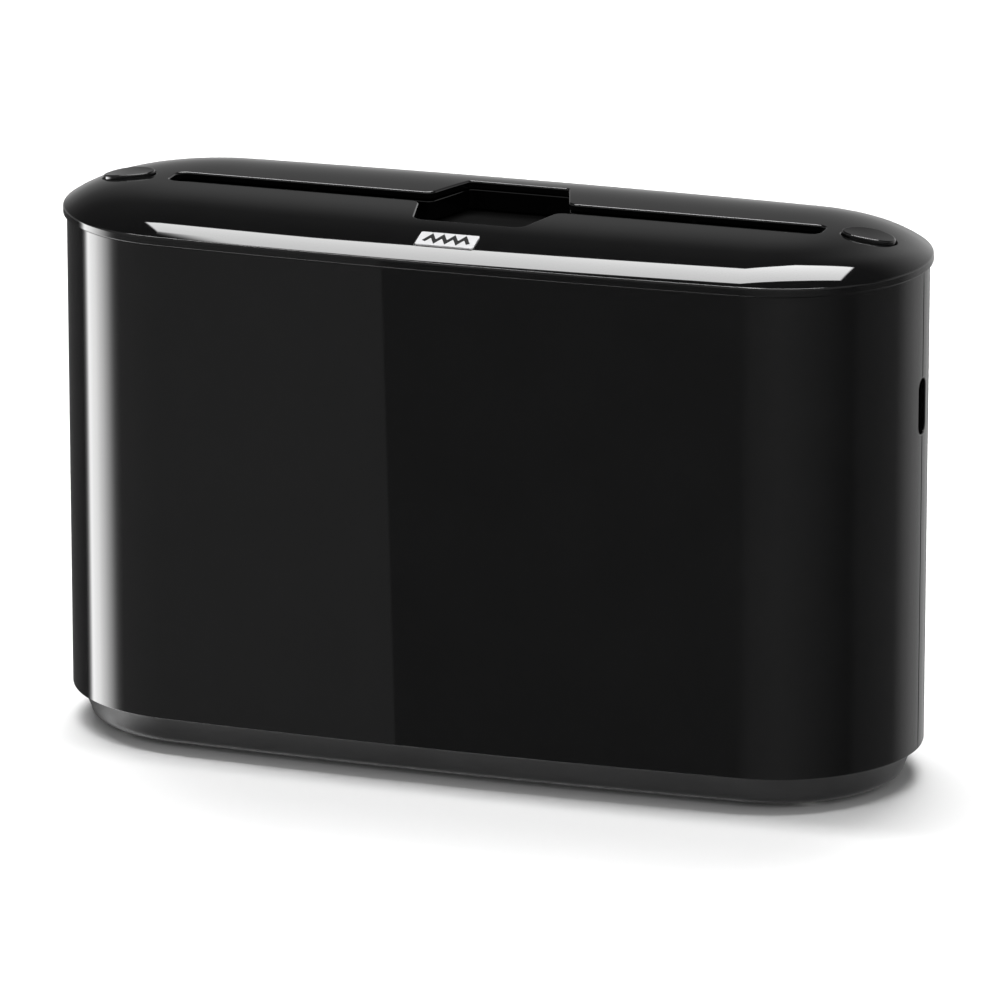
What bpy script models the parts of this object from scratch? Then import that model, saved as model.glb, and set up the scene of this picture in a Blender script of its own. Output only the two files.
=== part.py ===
"""Counter-top napkin dispenser: an oval black housing with a lift-off domed lid.

Folded napkins stand in the housing on a sprung platform, which holds them up against
the guide under the lid. They are pulled out through the long slot, and the wider
opening in its middle leaves room for the fingers. Two oval buttons on the lid turn
the latches that hold it down.

Frame: metres, +Z up, X along the width, the front faces -Y, origin on the table
under the centre of the housing.
"""
import math

import bmesh
import bpy
from mathutils import Matrix, Vector

for leftover in list(bpy.data.objects):
    bpy.data.objects.remove(leftover, do_unlink=True)

MM = 0.001

# ---------------------------------------------------------------- driving dimensions
# Whole object
WIDTH = 323.0 * MM              # lid, end to end
DEPTH = 116.0 * MM              # lid, front to back
HEIGHT = 202.0 * MM             # table to the top of the lid
FRONT_BOW = 2.65 * MM           # how far the long sides bulge past the end arcs

# Fits
GAP = 0.3 * MM                  # between pieces that rest on or sit in each other
RUNNING_GAP = 0.4 * MM          # between pieces that slide past each other

# Housing
WALL = 2.5 * MM                 # front and rear shell
LID_OVERHANG = 1.3 * MM         # lid rim past the shells
FOOT_STAND = 1.8 * MM           # table to the underside of the base
PLINTH_HEIGHT = 11.5 * MM       # underside of the base to the bottom edge of the shells
PLINTH_INSET = 0.5 * MM         # plinth inside the shells' inner face
PLINTH_TAPER = 3.5 * MM         # how much further in the plinth is near its foot
PLINTH_ROUND = 3.0 * MM         # rounded foot of the plinth
BASE_FLOOR = 3.0 * MM
CURB_HEIGHT = 6.0 * MM          # locating curb of the base, up inside the shells
CURB_WALL = 2.5 * MM
SEAM_GAP = 0.3 * MM             # between the front and the rear shell
WINDOW_HEIGHT = 21.2 * MM       # stadium-shaped window across the seam at each end
WINDOW_WIDTH = 8.0 * MM
WINDOW_DROP = 49.8 * MM         # lid rim down to the middle of the window
SEAM_FLANGE_DEPTH = 7.8 * MM
SEAM_FLANGE_THICKNESS = 2.5 * MM
RIB_THICKNESS = 1.5 * MM        # upright ribs that hold the cheeks
RIB_DEPTH = 7.0 * MM
BASE_RIB_HEIGHT = 6.0 * MM
BASE_RIB_LENGTH = 60.0 * MM
CHEEK_ENGAGEMENT = 3.0 * MM     # how deep a cheek's edge sits between two ribs

# Lid
LID_WALL = 2.5 * MM
LID_RISE = 11.5 * MM            # bottom of the rim to the top of the lid
RIM_HEIGHT = 2.8 * MM           # upright rim below the dome
DOME_POWER = 4.8                # how quickly the dome levels out from its edge
SKIRT_WALL = 1.6 * MM           # locating skirt of the lid, down inside the shells
SKIRT_DEPTH = 4.5 * MM

# Napkin slot and the opening in the middle of it
SLOT_SETBACK = 38.7 * MM        # end of the lid to the end of the slot
SLOT_WIDTH = 13.0 * MM
SLOT_END_RADIUS = 4.0 * MM
MOUTH_WIDTH = 52.0 * MM         # of the opening, where it meets the slot
FRONT_EDGE_WIDTH = 40.6 * MM
REAR_EDGE_WIDTH = 37.2 * MM
FRONT_REACH = 29.5 * MM         # middle of the slot to the front edge of the opening
REAR_REACH = 28.6 * MM
FRONT_CORNER_RADIUS = 4.5 * MM
REAR_CORNER_RADIUS = 1.5 * MM
MOUTH_RADIUS = 4.0 * MM

# Guide under the slot
GUIDE_WALL = 1.8 * MM
GUIDE_BOTTOM_DROP = 11.0 * MM   # top of the lid to the bottom edge of the guide
GUIDE_FLANGE = 3.0 * MM         # flange outside the guide wall
GUIDE_FLANGE_THICKNESS = 1.8 * MM
GUIDE_SCREW_SETBACK = 51.0 * MM     # end of the slot to the guide's screws
EAR_RADIUS = 4.5 * MM

# Buttons, their springs and the latches
BUTTON_LENGTH = 19.4 * MM
BUTTON_WIDTH = 14.0 * MM
BUTTON_INSET = 21.8 * MM        # lid rim to the middle of the button
BUTTON_PROUD = 1.3 * MM         # a button's top follows the lid's curve, this far above it
BUTTON_DISH = 0.15 * MM
BUTTON_TRAVEL = 2.5 * MM
BUTTON_FLANGE = 1.3 * MM
BUTTON_FLANGE_THICKNESS = 1.5 * MM
BUTTON_ROOF = 1.8 * MM
POCKET_RADIUS = 4.6 * MM        # spring pocket in the button
STEM_RADIUS = 2.4 * MM
STEM_LENGTH = 3.3 * MM          # below the spring seat
SEAT_DROP = 11.7 * MM           # top of the lid to the spring seat under the button
SEAT_THICKNESS = 1.5 * MM
CAGE_WALL = 1.8 * MM            # webs that hang the seat from the lid
CAGE_LENGTH = 17.0 * MM
BUTTON_SPRING_RADIUS = 3.6 * MM
BUTTON_WIRE_RADIUS = 0.35 * MM
BUTTON_SPRING_TURNS = 4
LATCH_ARM = 10.3 * MM           # button stem to the latch's pivot
LATCH_THICKNESS = 3.0 * MM
LATCH_WIDTH = 8.0 * MM
LATCH_DROP = 17.0 * MM          # pivot to the bottom of the hook
HOOK_HEIGHT = 4.4 * MM
HOOK_REACH = 8.0 * MM
HOOK_SHORT = 0.4 * MM           # the hook ends this far from the edge it faces
HUB_RADIUS = 3.6 * MM
PIN_RADIUS = 1.5 * MM
PIN_CLEARANCE = 0.1 * MM
FORK_WALL = 2.0 * MM

# Lift platform, its rods and springs, and the cheeks beside it
CHEEK_SETBACK = 43.5 * MM       # end of the lid to the inner face of the cheek
CHEEK_THICKNESS = 2.0 * MM
PLATFORM_THICKNESS = 3.0 * MM
PLATFORM_END_GAP = 2.5 * MM     # to the cheeks
PLATFORM_SIDE_GAP = 11.7 * MM   # to the inside of the front and rear shells
PLATFORM_END_WALL = 2.1 * MM
PLATFORM_END_WIDTH = 28.0 * MM
PLATFORM_RIM = 6.0 * MM         # flange turned down along the platform's long edges
PLATFORM_TRAVEL = 130.0 * MM
ROD_RADIUS = 2.5 * MM
ROD_OFFSET = 10.0 * MM          # cheek's outer face to the rod's axis
SLEEVE_RADIUS = 5.5 * MM
SLEEVE_HEIGHT = 14.0 * MM
SLIDER_ARM_WIDTH = 8.0 * MM
SLIDER_ARM_HEIGHT = 9.0 * MM
BRIDGE_THICKNESS = 5.0 * MM     # shelf of the cheek, over the rod
BRIDGE_WIDTH = 18.0 * MM
LIFT_SPRING_RADIUS = 4.2 * MM
LIFT_WIRE_RADIUS = 0.6 * MM
LIFT_SPRING_TURNS = 10
ROD_BOSS_RADIUS = 6.5 * MM
ROD_BOSS_HEIGHT = 4.5 * MM

# Feet, screws and badge
FOOT_RADIUS = 8.0 * MM
FOOT_RECESS = 0.6 * MM
FOOT_SETBACK_X = 51.5 * MM      # lid rim to the middle of a foot
FOOT_SETBACK_Y = 27.0 * MM
SCREW_RADIUS = 1.6 * MM
SCREW_HEAD_RADIUS = 3.1 * MM
SCREW_HEAD_HEIGHT = 1.8 * MM
SCREW_BOSS_RADIUS = 4.5 * MM
BASE_SCREW_LENGTH = 32.0 * MM
BASE_SCREW_ANGLE = math.radians(55.0)   # around the end arc, from the long axis
BASE_SCREW_MARGIN = 1.0 * MM            # screw head to the rounded foot of the plinth
SCREW_POST_HEIGHT = 24.0 * MM
SHORT_SCREW_LENGTH = 7.0 * MM
BADGE_LENGTH = 21.8 * MM
BADGE_WIDTH = 8.6 * MM
BADGE_THICKNESS = 1.0 * MM
BADGE_PROUD = 0.3 * MM
BADGE_OFFSET = -1.8 * MM        # along X, from the middle of the lid
BADGE_SETBACK = 11.9 * MM       # lid rim to the middle of the badge

# Facets
END_STEPS = 16                  # along each end arc
SIDE_STEPS = 6                  # along each long side
ROUND_STEPS = 16                # around pins, rods and bosses
CORNER_STEPS = 3
WELD = 0.001 * MM               # points a cut leaves closer than this are one
SHARP_ANGLE = math.radians(30.0)

# ---------------------------------------------------------------- derived places
LIP = HEIGHT - LID_RISE                         # bottom edge of the lid
DOME_REACH = DEPTH / 2                          # the dome rises all the way to the middle
SHELL_TOP = LIP - GAP
SHELL_BOTTOM = FOOT_STAND + PLINTH_HEIGHT
FLOOR_TOP = FOOT_STAND + BASE_FLOOR
CURB_TOP = SHELL_BOTTOM + CURB_HEIGHT
SHELL_INSET = LID_OVERHANG                      # outlines are insets of the lid's
SHELL_INNER = SHELL_INSET + WALL
PLINTH_TOP_INSET = SHELL_INNER + PLINTH_INSET
SKIRT_INSET = SHELL_INNER + RUNNING_GAP
END_RADIUS = DEPTH / 2 - FRONT_BOW
END_CENTRE = WIDTH / 2 - END_RADIUS
SIDE_RADIUS = (END_CENTRE ** 2 + (DEPTH / 2) ** 2 - END_RADIUS ** 2) / (2 * FRONT_BOW)
SIDE_CENTRE = SIDE_RADIUS - DEPTH / 2
FIXING_TOP = LIP - SKIRT_DEPTH - 2 * RUNNING_GAP    # highest fixed piece under the skirt

CHEEK_INNER = WIDTH / 2 - CHEEK_SETBACK
CHEEK_OUTER = CHEEK_INNER + CHEEK_THICKNESS
ROD_X = CHEEK_OUTER + ROD_OFFSET
PLATFORM_END = CHEEK_INNER - PLATFORM_END_GAP
PLATFORM_SIDE = DEPTH / 2 - SHELL_INNER - PLATFORM_SIDE_GAP
GUIDE_BOTTOM = HEIGHT - GUIDE_BOTTOM_DROP
PLATFORM_TOP = GUIDE_BOTTOM - RUNNING_GAP
PLATFORM_UNDER = PLATFORM_TOP - PLATFORM_THICKNESS

BUTTON_X = WIDTH / 2 - BUTTON_INSET
PIVOT_X = BUTTON_X + LATCH_ARM
SEAT_TOP = HEIGHT - SEAT_DROP
SEAT_UNDER = SEAT_TOP - SEAT_THICKNESS
STEM_TIP = SEAT_UNDER - STEM_LENGTH
ARM_TOP = STEM_TIP - GAP
PIVOT_Z = ARM_TOP - LATCH_THICKNESS / 2
HOOK_BOTTOM = PIVOT_Z - LATCH_DROP
HOOK_TOP = HOOK_BOTTOM + HOOK_HEIGHT
HOOK_TIP = PIVOT_X - LATCH_THICKNESS / 2 - HOOK_REACH
BRIDGE_UNDER = HOOK_TOP + RUNNING_GAP
BRIDGE_TOP = BRIDGE_UNDER + BRIDGE_THICKNESS
BRIDGE_END = HOOK_TIP - HOOK_SHORT
SLEEVE_TOP = BRIDGE_UNDER - RUNNING_GAP
SLEEVE_BOTTOM = SLEEVE_TOP - SLEEVE_HEIGHT
ARM_BOTTOM = SLEEVE_TOP - SLIDER_ARM_HEIGHT
ROD_BOSS_TOP = FLOOR_TOP + ROD_BOSS_HEIGHT
SLOT_END = WIDTH / 2 - SLOT_SETBACK
GUIDE_SCREW_X = SLOT_END - GUIDE_SCREW_SETBACK
GUIDE_SCREW_Y = SLOT_WIDTH / 2 + GAP + GUIDE_WALL + SCREW_HEAD_RADIUS + 2 * GAP
FLANGE_UNDER = GUIDE_BOTTOM + SCREW_HEAD_HEIGHT + 2 * GAP
FLANGE_TOP = FLANGE_UNDER + GUIDE_FLANGE_THICKNESS
WINDOW_Z = LIP - WINDOW_DROP
SEAM_SCREW_X = WIDTH / 2 - SHELL_INNER - SCREW_HEAD_RADIUS - 3 * GAP


# ---------------------------------------------------------------- outlines
def arc(centre_x, centre_y, radius, start, end, steps):
    """Points from the start angle to the end angle, both included."""
    points = []
    for step in range(steps + 1):
        angle = start + (end - start) * step / steps
        points.append((centre_x + radius * math.cos(angle), centre_y + radius * math.sin(angle)))
    return points


def oval(inset):
    """The housing's plan outline, an inset of the lid's: two end arcs and two flat side arcs."""
    meet = math.atan2(SIDE_CENTRE, END_CENTRE)
    end = arc(END_CENTRE, 0, END_RADIUS - inset, -meet, meet, END_STEPS)
    side = arc(0, -SIDE_CENTRE, SIDE_RADIUS - inset, meet, math.pi - meet, SIDE_STEPS)
    half = end + side[1:-1]
    return half + [(-x, -y) for x, y in half]


def half_depth_at(x, inset):
    """Distance from the long axis to the outline of this inset, at one x."""
    along = abs(x)
    if along > END_CENTRE:
        return math.sqrt((END_RADIUS - inset) ** 2 - (along - END_CENTRE) ** 2)
    return math.sqrt((SIDE_RADIUS - inset) ** 2 - along ** 2) - SIDE_CENTRE


def ellipse(centre_x, half_length, half_width, steps=ROUND_STEPS):
    turns = [2 * math.pi * step / steps for step in range(steps)]
    return [(centre_x + half_length * math.cos(t), half_width * math.sin(t)) for t in turns]


def rounded_outline(corners, offset):
    """An anticlockwise outline of (x, y, radius) corners, moved out by offset."""
    count = len(corners)
    normals = []
    for index, (x, y, _) in enumerate(corners):
        next_x, next_y, _ = corners[(index + 1) % count]
        edge = Vector((next_x - x, next_y - y)).normalized()
        normals.append(Vector((edge.y, -edge.x)))
    points = []
    for index, (x, y, radius) in enumerate(corners):
        before, after = normals[index - 1], normals[index]
        bisector = (before + after).normalized()
        reach = 1 / bisector.dot(after)
        convex = before.x * after.y - before.y * after.x > 0
        fillet = max(radius + offset if convex else radius - offset, 0.2 * MM)
        side = 1 if convex else -1
        corner = Vector((x, y)) + bisector * offset * reach
        centre = corner - bisector * fillet * reach * side
        start = math.atan2(before.y * side, before.x * side)
        turn = math.atan2(before.x * after.y - before.y * after.x, before.dot(after))
        points += arc(centre.x, centre.y, fillet, start, start + turn, CORNER_STEPS)
    return points


def opening_outline(offset=0.0):
    """The slot through the lid, with the wider opening in its middle."""
    end, half_slot, mouth = SLOT_END, SLOT_WIDTH / 2, MOUTH_WIDTH / 2
    front, rear = FRONT_EDGE_WIDTH / 2, REAR_EDGE_WIDTH / 2
    right = [
        (front, -FRONT_REACH, FRONT_CORNER_RADIUS),
        (mouth, -half_slot, MOUTH_RADIUS),
        (end, -half_slot, SLOT_END_RADIUS),
        (end, half_slot, SLOT_END_RADIUS),
        (mouth, half_slot, MOUTH_RADIUS),
        (rear, REAR_REACH, REAR_CORNER_RADIUS),
    ]
    left = [(-x, y, radius) for x, y, radius in reversed(right)]
    return rounded_outline(right + left, offset)


def dome_height(inset):
    """Height of the lid's outer face, this far in from its rim."""
    share = min(max(inset, 0) / DOME_REACH, 1)
    return LIP + RIM_HEIGHT + (LID_RISE - RIM_HEIGHT) * (1 - (1 - share) ** DOME_POWER)


# ---------------------------------------------------------------- solids
def add_object(name, bm):
    bmesh.ops.recalc_face_normals(bm, faces=bm.faces)
    mesh = bpy.data.meshes.new(name)
    bm.to_mesh(mesh)
    bm.free()
    obj = bpy.data.objects.new(name, mesh)
    bpy.context.scene.collection.objects.link(obj)
    return obj


def loft(name, rings):
    """A closed solid through rings of (x, y, z) points, all with the same count."""
    bm = bmesh.new()
    loops = [[bm.verts.new(point) for point in ring] for ring in rings]
    for lower, upper in zip(loops, loops[1:]):
        for index in range(len(lower)):
            follow = (index + 1) % len(lower)
            bm.faces.new((lower[index], lower[follow], upper[follow], upper[index]))
    bm.faces.new(list(reversed(loops[0])))
    bm.faces.new(loops[-1])
    return add_object(name, bm)


def at_height(outline, z):
    return [(x, y, z) for x, y in outline]


def prism(name, outline, low, high):
    return loft(name, [at_height(outline, low), at_height(outline, high)])


def block(name, low, high):
    corners = [(low[0], low[1]), (high[0], low[1]), (high[0], high[1]), (low[0], high[1])]
    return prism(name, corners, low[2], high[2])


def side_block(name, side, inner_x, outer_x, low_y, high_y, low_z, high_z):
    """A block at the left (side -1) or the right (side 1) end of the housing."""
    low_x, high_x = sorted((side * inner_x, side * outer_x))
    return block(name, (low_x, low_y, low_z), (high_x, high_y, high_z))


def rod(name, centre, radius, start, end, axis="Z"):
    """A round bar along an axis, from start to end on it; centre gives the other two."""
    circle = arc(0, 0, radius, 0, 2 * math.pi, ROUND_STEPS)[:-1]
    rings = []
    for along in (start, end):
        if axis == "Z":
            ring = [(centre[0] + u, centre[1] + v, along) for u, v in circle]
        elif axis == "Y":
            ring = [(centre[0] + u, along, centre[1] + v) for u, v in circle]
        else:
            ring = [(along, centre[0] + u, centre[1] + v) for u, v in circle]
        rings.append(ring)
    return loft(name, rings)


def combine(target, tool, operation):
    modifier = target.modifiers.new(operation, "BOOLEAN")
    modifier.operation = operation
    modifier.solver = "EXACT"
    modifier.object = tool
    graph = bpy.context.evaluated_depsgraph_get()
    result = bpy.data.meshes.new_from_object(target.evaluated_get(graph))
    target.modifiers.clear()
    bm = bmesh.new()
    bm.from_mesh(result)
    bmesh.ops.remove_doubles(bm, verts=bm.verts, dist=WELD)
    bmesh.ops.dissolve_degenerate(bm, edges=bm.edges, dist=WELD)
    bm.to_mesh(result)
    bm.free()
    target.data = result
    bpy.data.objects.remove(tool, do_unlink=True)


def cut(target, tool):
    combine(target, tool, "DIFFERENCE")


def join(target, tool):
    combine(target, tool, "UNION")


def coil(name, centre, radius, wire, low, high, turns, steps=8, sides=5):
    """A compression spring standing on low, its ends closed by flat caps."""
    rings = []
    total = turns * steps
    for step in range(total + 1):
        angle = 2 * math.pi * step / steps
        height = low + wire + (high - low - 2 * wire) * step / total
        ring = []
        for side in range(sides):
            turn = 2 * math.pi * side / sides
            out = radius + wire * math.cos(turn)
            ring.append((centre[0] + out * math.cos(angle), centre[1] + out * math.sin(angle),
                         height + wire * math.sin(turn)))
        rings.append(ring)
    return loft(name, rings)


# ---------------------------------------------------------------- materials and placing
def material(name, colour, roughness, metallic=0.0):
    made = bpy.data.materials.new(name)
    made.use_nodes = True
    shader = made.node_tree.nodes["Principled BSDF"]
    shader.inputs["Base Color"].default_value = (*colour, 1)
    shader.inputs["Roughness"].default_value = roughness
    shader.inputs["Metallic"].default_value = metallic
    return made


SHELL_BLACK = material("gloss black shell", (0.012, 0.012, 0.013), 0.12)
LID_BLACK = material("gloss black lid", (0.014, 0.014, 0.015), 0.14)
BUTTON_BLACK = material("gloss black button", (0.014, 0.014, 0.015), 0.12)
BASE_GREY = material("satin charcoal base", (0.035, 0.035, 0.037), 0.45)
GUIDE_BLACK = material("matte black guide", (0.02, 0.02, 0.02), 0.5)
CHEEK_GREY = material("matte grey cheek", (0.10, 0.10, 0.105), 0.55)
PLATFORM_GREY = material("matte dark platform", (0.04, 0.04, 0.042), 0.5)
LATCH_WHITE = material("natural nylon latch", (0.62, 0.60, 0.54), 0.45)
ROD_STEEL = material("polished steel rod", (0.62, 0.62, 0.63), 0.18, 1.0)
SPRING_STEEL = material("spring steel", (0.50, 0.50, 0.52), 0.28, 1.0)
SCREW_STEEL = material("zinc screw steel", (0.58, 0.58, 0.60), 0.32, 1.0)
FOOT_RUBBER = material("black rubber foot", (0.02, 0.02, 0.02), 0.85)
BADGE_SILVER = material("pale badge", (0.78, 0.78, 0.78), 0.3)


def world_place(frame):
    return frame.location + (world_place(frame.parent) if frame.parent else Vector((0, 0, 0)))


def joint_frame(name, place, parent=None):
    """An empty on a joint's axis; the pieces that move with the joint hang from it."""
    frame = bpy.data.objects.new(name, None)
    bpy.context.scene.collection.objects.link(frame)
    frame.location = Vector(place) - (world_place(parent) if parent else Vector((0, 0, 0)))
    frame.parent = parent
    return frame


def finish(obj, made, frame=None):
    """Give a piece its material and shading, and hang it from its joint's empty."""
    obj.data.materials.clear()
    obj.data.materials.append(made)
    obj.data.shade_smooth()
    obj.data.set_sharp_from_angle(angle=SHARP_ANGLE)
    if frame:
        obj.data.transform(Matrix.Translation(-world_place(frame)))
        obj.parent = frame


def screw(name, place, length, axis="Z", frame=None):
    """A pan-head screw: its head's top face sits at place, and its shank points along +axis."""
    steps = ((0, SCREW_HEAD_RADIUS), (SCREW_HEAD_HEIGHT, SCREW_HEAD_RADIUS),
             (SCREW_HEAD_HEIGHT, SCREW_RADIUS), (SCREW_HEAD_HEIGHT + length, SCREW_RADIUS))
    way = -1 if axis.startswith("-") else 1
    rings = []
    for along, radius in steps:
        ring = []
        for u, v in arc(0, 0, radius, 0, 2 * math.pi, ROUND_STEPS // 2)[:-1]:
            offset = {"Z": (u, v, along), "Y": (u, along, v), "X": (along, u, v)}[axis[-1]]
            ring.append(Vector(place) + way * Vector(offset))
        rings.append(ring)
    finish(loft(name, rings), SCREW_STEEL, frame)


SIDES = (("left", -1), ("right", 1))
HALVES = (("front", -1), ("rear", 1))


# ---------------------------------------------------------------- base and feet
def base_screw_place(side, half):
    inset = PLINTH_TOP_INSET + PLINTH_TAPER + PLINTH_ROUND + SCREW_HEAD_RADIUS + BASE_SCREW_MARGIN
    radius = END_RADIUS - inset
    return (side * (END_CENTRE + radius * math.cos(BASE_SCREW_ANGLE)),
            half * radius * math.sin(BASE_SCREW_ANGLE))


def foot_place(side, half):
    return side * (WIDTH / 2 - FOOT_SETBACK_X), half * (DEPTH / 2 - FOOT_SETBACK_Y)


def plinth_rings():
    """The base's outside: a rounded foot, a tapering plinth and the curb above it."""
    foot_inset = PLINTH_TOP_INSET + PLINTH_TAPER
    rings = []
    for step in range(4):
        turn = math.pi / 2 * step / 3
        inset = foot_inset + PLINTH_ROUND * (1 - math.sin(turn))
        rings.append(at_height(oval(inset), FOOT_STAND + PLINTH_ROUND * (1 - math.cos(turn))))
    rings.append(at_height(oval(PLINTH_TOP_INSET), SHELL_BOTTOM - GAP))
    rings.append(at_height(oval(PLINTH_TOP_INSET), CURB_TOP))
    return rings


def make_base():
    base = loft("base", plinth_rings())
    inner = PLINTH_TOP_INSET + CURB_WALL
    cut(base, loft("tray", [at_height(oval(inner + PLINTH_TAPER), FLOOR_TOP),
                            at_height(oval(inner), SHELL_BOTTOM),
                            at_height(oval(inner), CURB_TOP + GAP)]))
    for _, side in SIDES:
        join(base, rod("boss", (side * ROD_X, 0), ROD_BOSS_RADIUS, FLOOR_TOP - GAP, ROD_BOSS_TOP))
        cut(base, rod("socket", (side * ROD_X, 0), ROD_RADIUS + GAP,
                      FLOOR_TOP - BASE_FLOOR / 2, ROD_BOSS_TOP + GAP))
        for inner_x in (CHEEK_INNER - GAP - RIB_THICKNESS, CHEEK_OUTER + GAP):
            join(base, side_block("rib", side, inner_x, inner_x + RIB_THICKNESS,
                                  -BASE_RIB_LENGTH / 2, BASE_RIB_LENGTH / 2,
                                  FLOOR_TOP - GAP, FLOOR_TOP + BASE_RIB_HEIGHT))
        for _, half in HALVES:
            place = base_screw_place(side, half)
            join(base, rod("tower", place, SCREW_BOSS_RADIUS, FLOOR_TOP - GAP, CURB_TOP))
            cut(base, rod("hole", place, SCREW_RADIUS + GAP, 0, CURB_TOP + GAP))
            cut(base, rod("counterbore", place, SCREW_HEAD_RADIUS + GAP,
                          0, FOOT_STAND + SCREW_HEAD_HEIGHT + 2 * GAP))
            cut(base, rod("recess", foot_place(side, half), FOOT_RADIUS + GAP,
                          0, FOOT_STAND + FOOT_RECESS + GAP))
    finish(base, BASE_GREY)


def make_feet():
    for half_name, half in HALVES:
        for side_name, side in SIDES:
            foot = rod(f"foot_{half_name}_{side_name}", foot_place(side, half), FOOT_RADIUS,
                       0, FOOT_STAND + FOOT_RECESS)
            finish(foot, FOOT_RUBBER)


def make_base_screws():
    for half_name, half in HALVES:
        for side_name, side in SIDES:
            x, y = base_screw_place(side, half)
            screw(f"base_screw_{half_name}_{side_name}", (x, y, FOOT_STAND + GAP),
                  BASE_SCREW_LENGTH)


# ---------------------------------------------------------------- front and rear shells
def window_cutter(side):
    """A stadium-shaped bar through the end wall, across the seam."""
    radius = WINDOW_WIDTH / 2
    rise = WINDOW_HEIGHT / 2 - radius
    outline = arc(0, rise, radius, 0, math.pi, 8) + arc(0, -rise, radius, math.pi, 2 * math.pi, 8)
    reach = (WIDTH / 2 - SHELL_INNER - SEAM_FLANGE_DEPTH, WIDTH / 2 + WALL)
    return loft("window", [[(side * x, y, WINDOW_Z + z) for y, z in outline] for x in reach])


def seam_flange_spans():
    """The heights of the two flanges, above and below the window."""
    margin = WINDOW_HEIGHT / 2 + SEAM_FLANGE_THICKNESS
    below = (CURB_TOP + GAP, WINDOW_Z - margin)
    above = (WINDOW_Z + margin, HOOK_BOTTOM - SEAM_FLANGE_THICKNESS)
    return below, above


def add_screw_post(shell, side, half):
    """A post for a base screw, with a web that ties it to the end wall."""
    x, y = base_screw_place(side, half)
    low, high = CURB_TOP + GAP, CURB_TOP + GAP + SCREW_POST_HEIGHT
    reach = END_RADIUS - SHELL_INNER + WALL / 2
    web = block("web", (0, -SCREW_RADIUS, low), (reach, SCREW_RADIUS, high))
    start = math.hypot(abs(x) - END_CENTRE, y)
    cut(web, block("trim", (-GAP, -WALL, low - GAP), (start, WALL, high + GAP)))
    angle = math.atan2(y, x - side * END_CENTRE)
    web.data.transform(Matrix.Translation((side * END_CENTRE, 0, 0)) @
                       Matrix.Rotation(angle, 4, "Z"))
    join(shell, web)
    join(shell, rod("post", (x, y), SCREW_BOSS_RADIUS, low, high))
    cut(shell, rod("hole", (x, y), SCREW_RADIUS + GAP, low - GAP, high - WALL))


def make_shell(half_name, half):
    shell = prism(f"{half_name}_shell", oval(SHELL_INSET), SHELL_BOTTOM, SHELL_TOP)
    cut(shell, prism("inside", oval(SHELL_INNER), SHELL_BOTTOM - GAP, SHELL_TOP + GAP))
    low_y, high_y = sorted((half * SEAM_GAP / 2, -half * DEPTH))
    cut(shell, block("other half", (-WIDTH, low_y, 0), (WIDTH, high_y, HEIGHT)))
    flange_inner = WIDTH / 2 - SHELL_INNER - SEAM_FLANGE_DEPTH
    for _, side in SIDES:
        near, far = sorted((half * SEAM_GAP / 2, half * (SEAM_GAP / 2 + SEAM_FLANGE_THICKNESS)))
        for low, high in seam_flange_spans():
            join(shell, side_block("flange", side, flange_inner,
                                   WIDTH / 2 - SHELL_INNER + WALL / 2, near, far, low, high))
            cut(shell, rod("hole", (side * SEAM_SCREW_X, (low + high) / 2), SCREW_RADIUS + GAP,
                           near - GAP, far + GAP, "Y"))
        for inner_x in (CHEEK_INNER - GAP - RIB_THICKNESS, CHEEK_OUTER + GAP):
            outer_x = inner_x + RIB_THICKNESS
            wall_y = half_depth_at(outer_x, SHELL_INNER)
            low_y, high_y = sorted((half * (wall_y - RIB_DEPTH), half * (wall_y + WALL / 2)))
            join(shell, side_block("rib", side, inner_x, outer_x, low_y, high_y,
                                   CURB_TOP + GAP, FIXING_TOP))
        cut(shell, window_cutter(side))
        add_screw_post(shell, side, half)
    finish(shell, SHELL_BLACK)


def make_seam_screws():
    head_y = -(SEAM_GAP / 2 + SEAM_FLANGE_THICKNESS + GAP + SCREW_HEAD_HEIGHT)
    for side_name, side in SIDES:
        for level, (low, high) in zip(("lower", "upper"), seam_flange_spans()):
            screw(f"seam_screw_{level}_{side_name}",
                  (side * SEAM_SCREW_X, head_y, (low + high) / 2), SHORT_SCREW_LENGTH, "Y")


# ---------------------------------------------------------------- cheeks and rods
def make_cheek(side_name, side):
    """An upright plate beside the napkins, with the bridge that holds the rod's top."""
    rib_y = half_depth_at(CHEEK_OUTER + GAP + RIB_THICKNESS, SHELL_INNER) - RIB_DEPTH
    half_width = rib_y + CHEEK_ENGAGEMENT
    cheek = side_block(f"{side_name}_cheek", side, CHEEK_INNER, CHEEK_OUTER,
                       -half_width, half_width, CURB_TOP + GAP, FIXING_TOP)
    join(cheek, side_block("foot", side, CHEEK_INNER, CHEEK_OUTER, -BASE_RIB_LENGTH / 2,
                           BASE_RIB_LENGTH / 2, FLOOR_TOP + GAP, CURB_TOP + 2 * GAP))
    join(cheek, side_block("bridge", side, CHEEK_OUTER - CHEEK_THICKNESS / 2, BRIDGE_END,
                           -BRIDGE_WIDTH / 2, BRIDGE_WIDTH / 2, BRIDGE_UNDER, BRIDGE_TOP))
    cut(cheek, rod("hole", (side * ROD_X, 0), ROD_RADIUS + GAP,
                   BRIDGE_UNDER - GAP, BRIDGE_TOP + GAP))
    slot_half = SLIDER_ARM_WIDTH / 2 + RUNNING_GAP
    cut(cheek, side_block("slot", side, CHEEK_INNER - GAP, CHEEK_OUTER + GAP,
                          -slot_half, slot_half,
                          ARM_BOTTOM - PLATFORM_TRAVEL - RUNNING_GAP, BRIDGE_UNDER))
    finish(cheek, CHEEK_GREY)


def make_guide_rods():
    for side_name, side in SIDES:
        bar = rod(f"{side_name}_guide_rod", (side * ROD_X, 0), ROD_RADIUS,
                  FLOOR_TOP - BASE_FLOOR / 2 + GAP, BRIDGE_TOP - GAP)
        finish(bar, ROD_STEEL)


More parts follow.
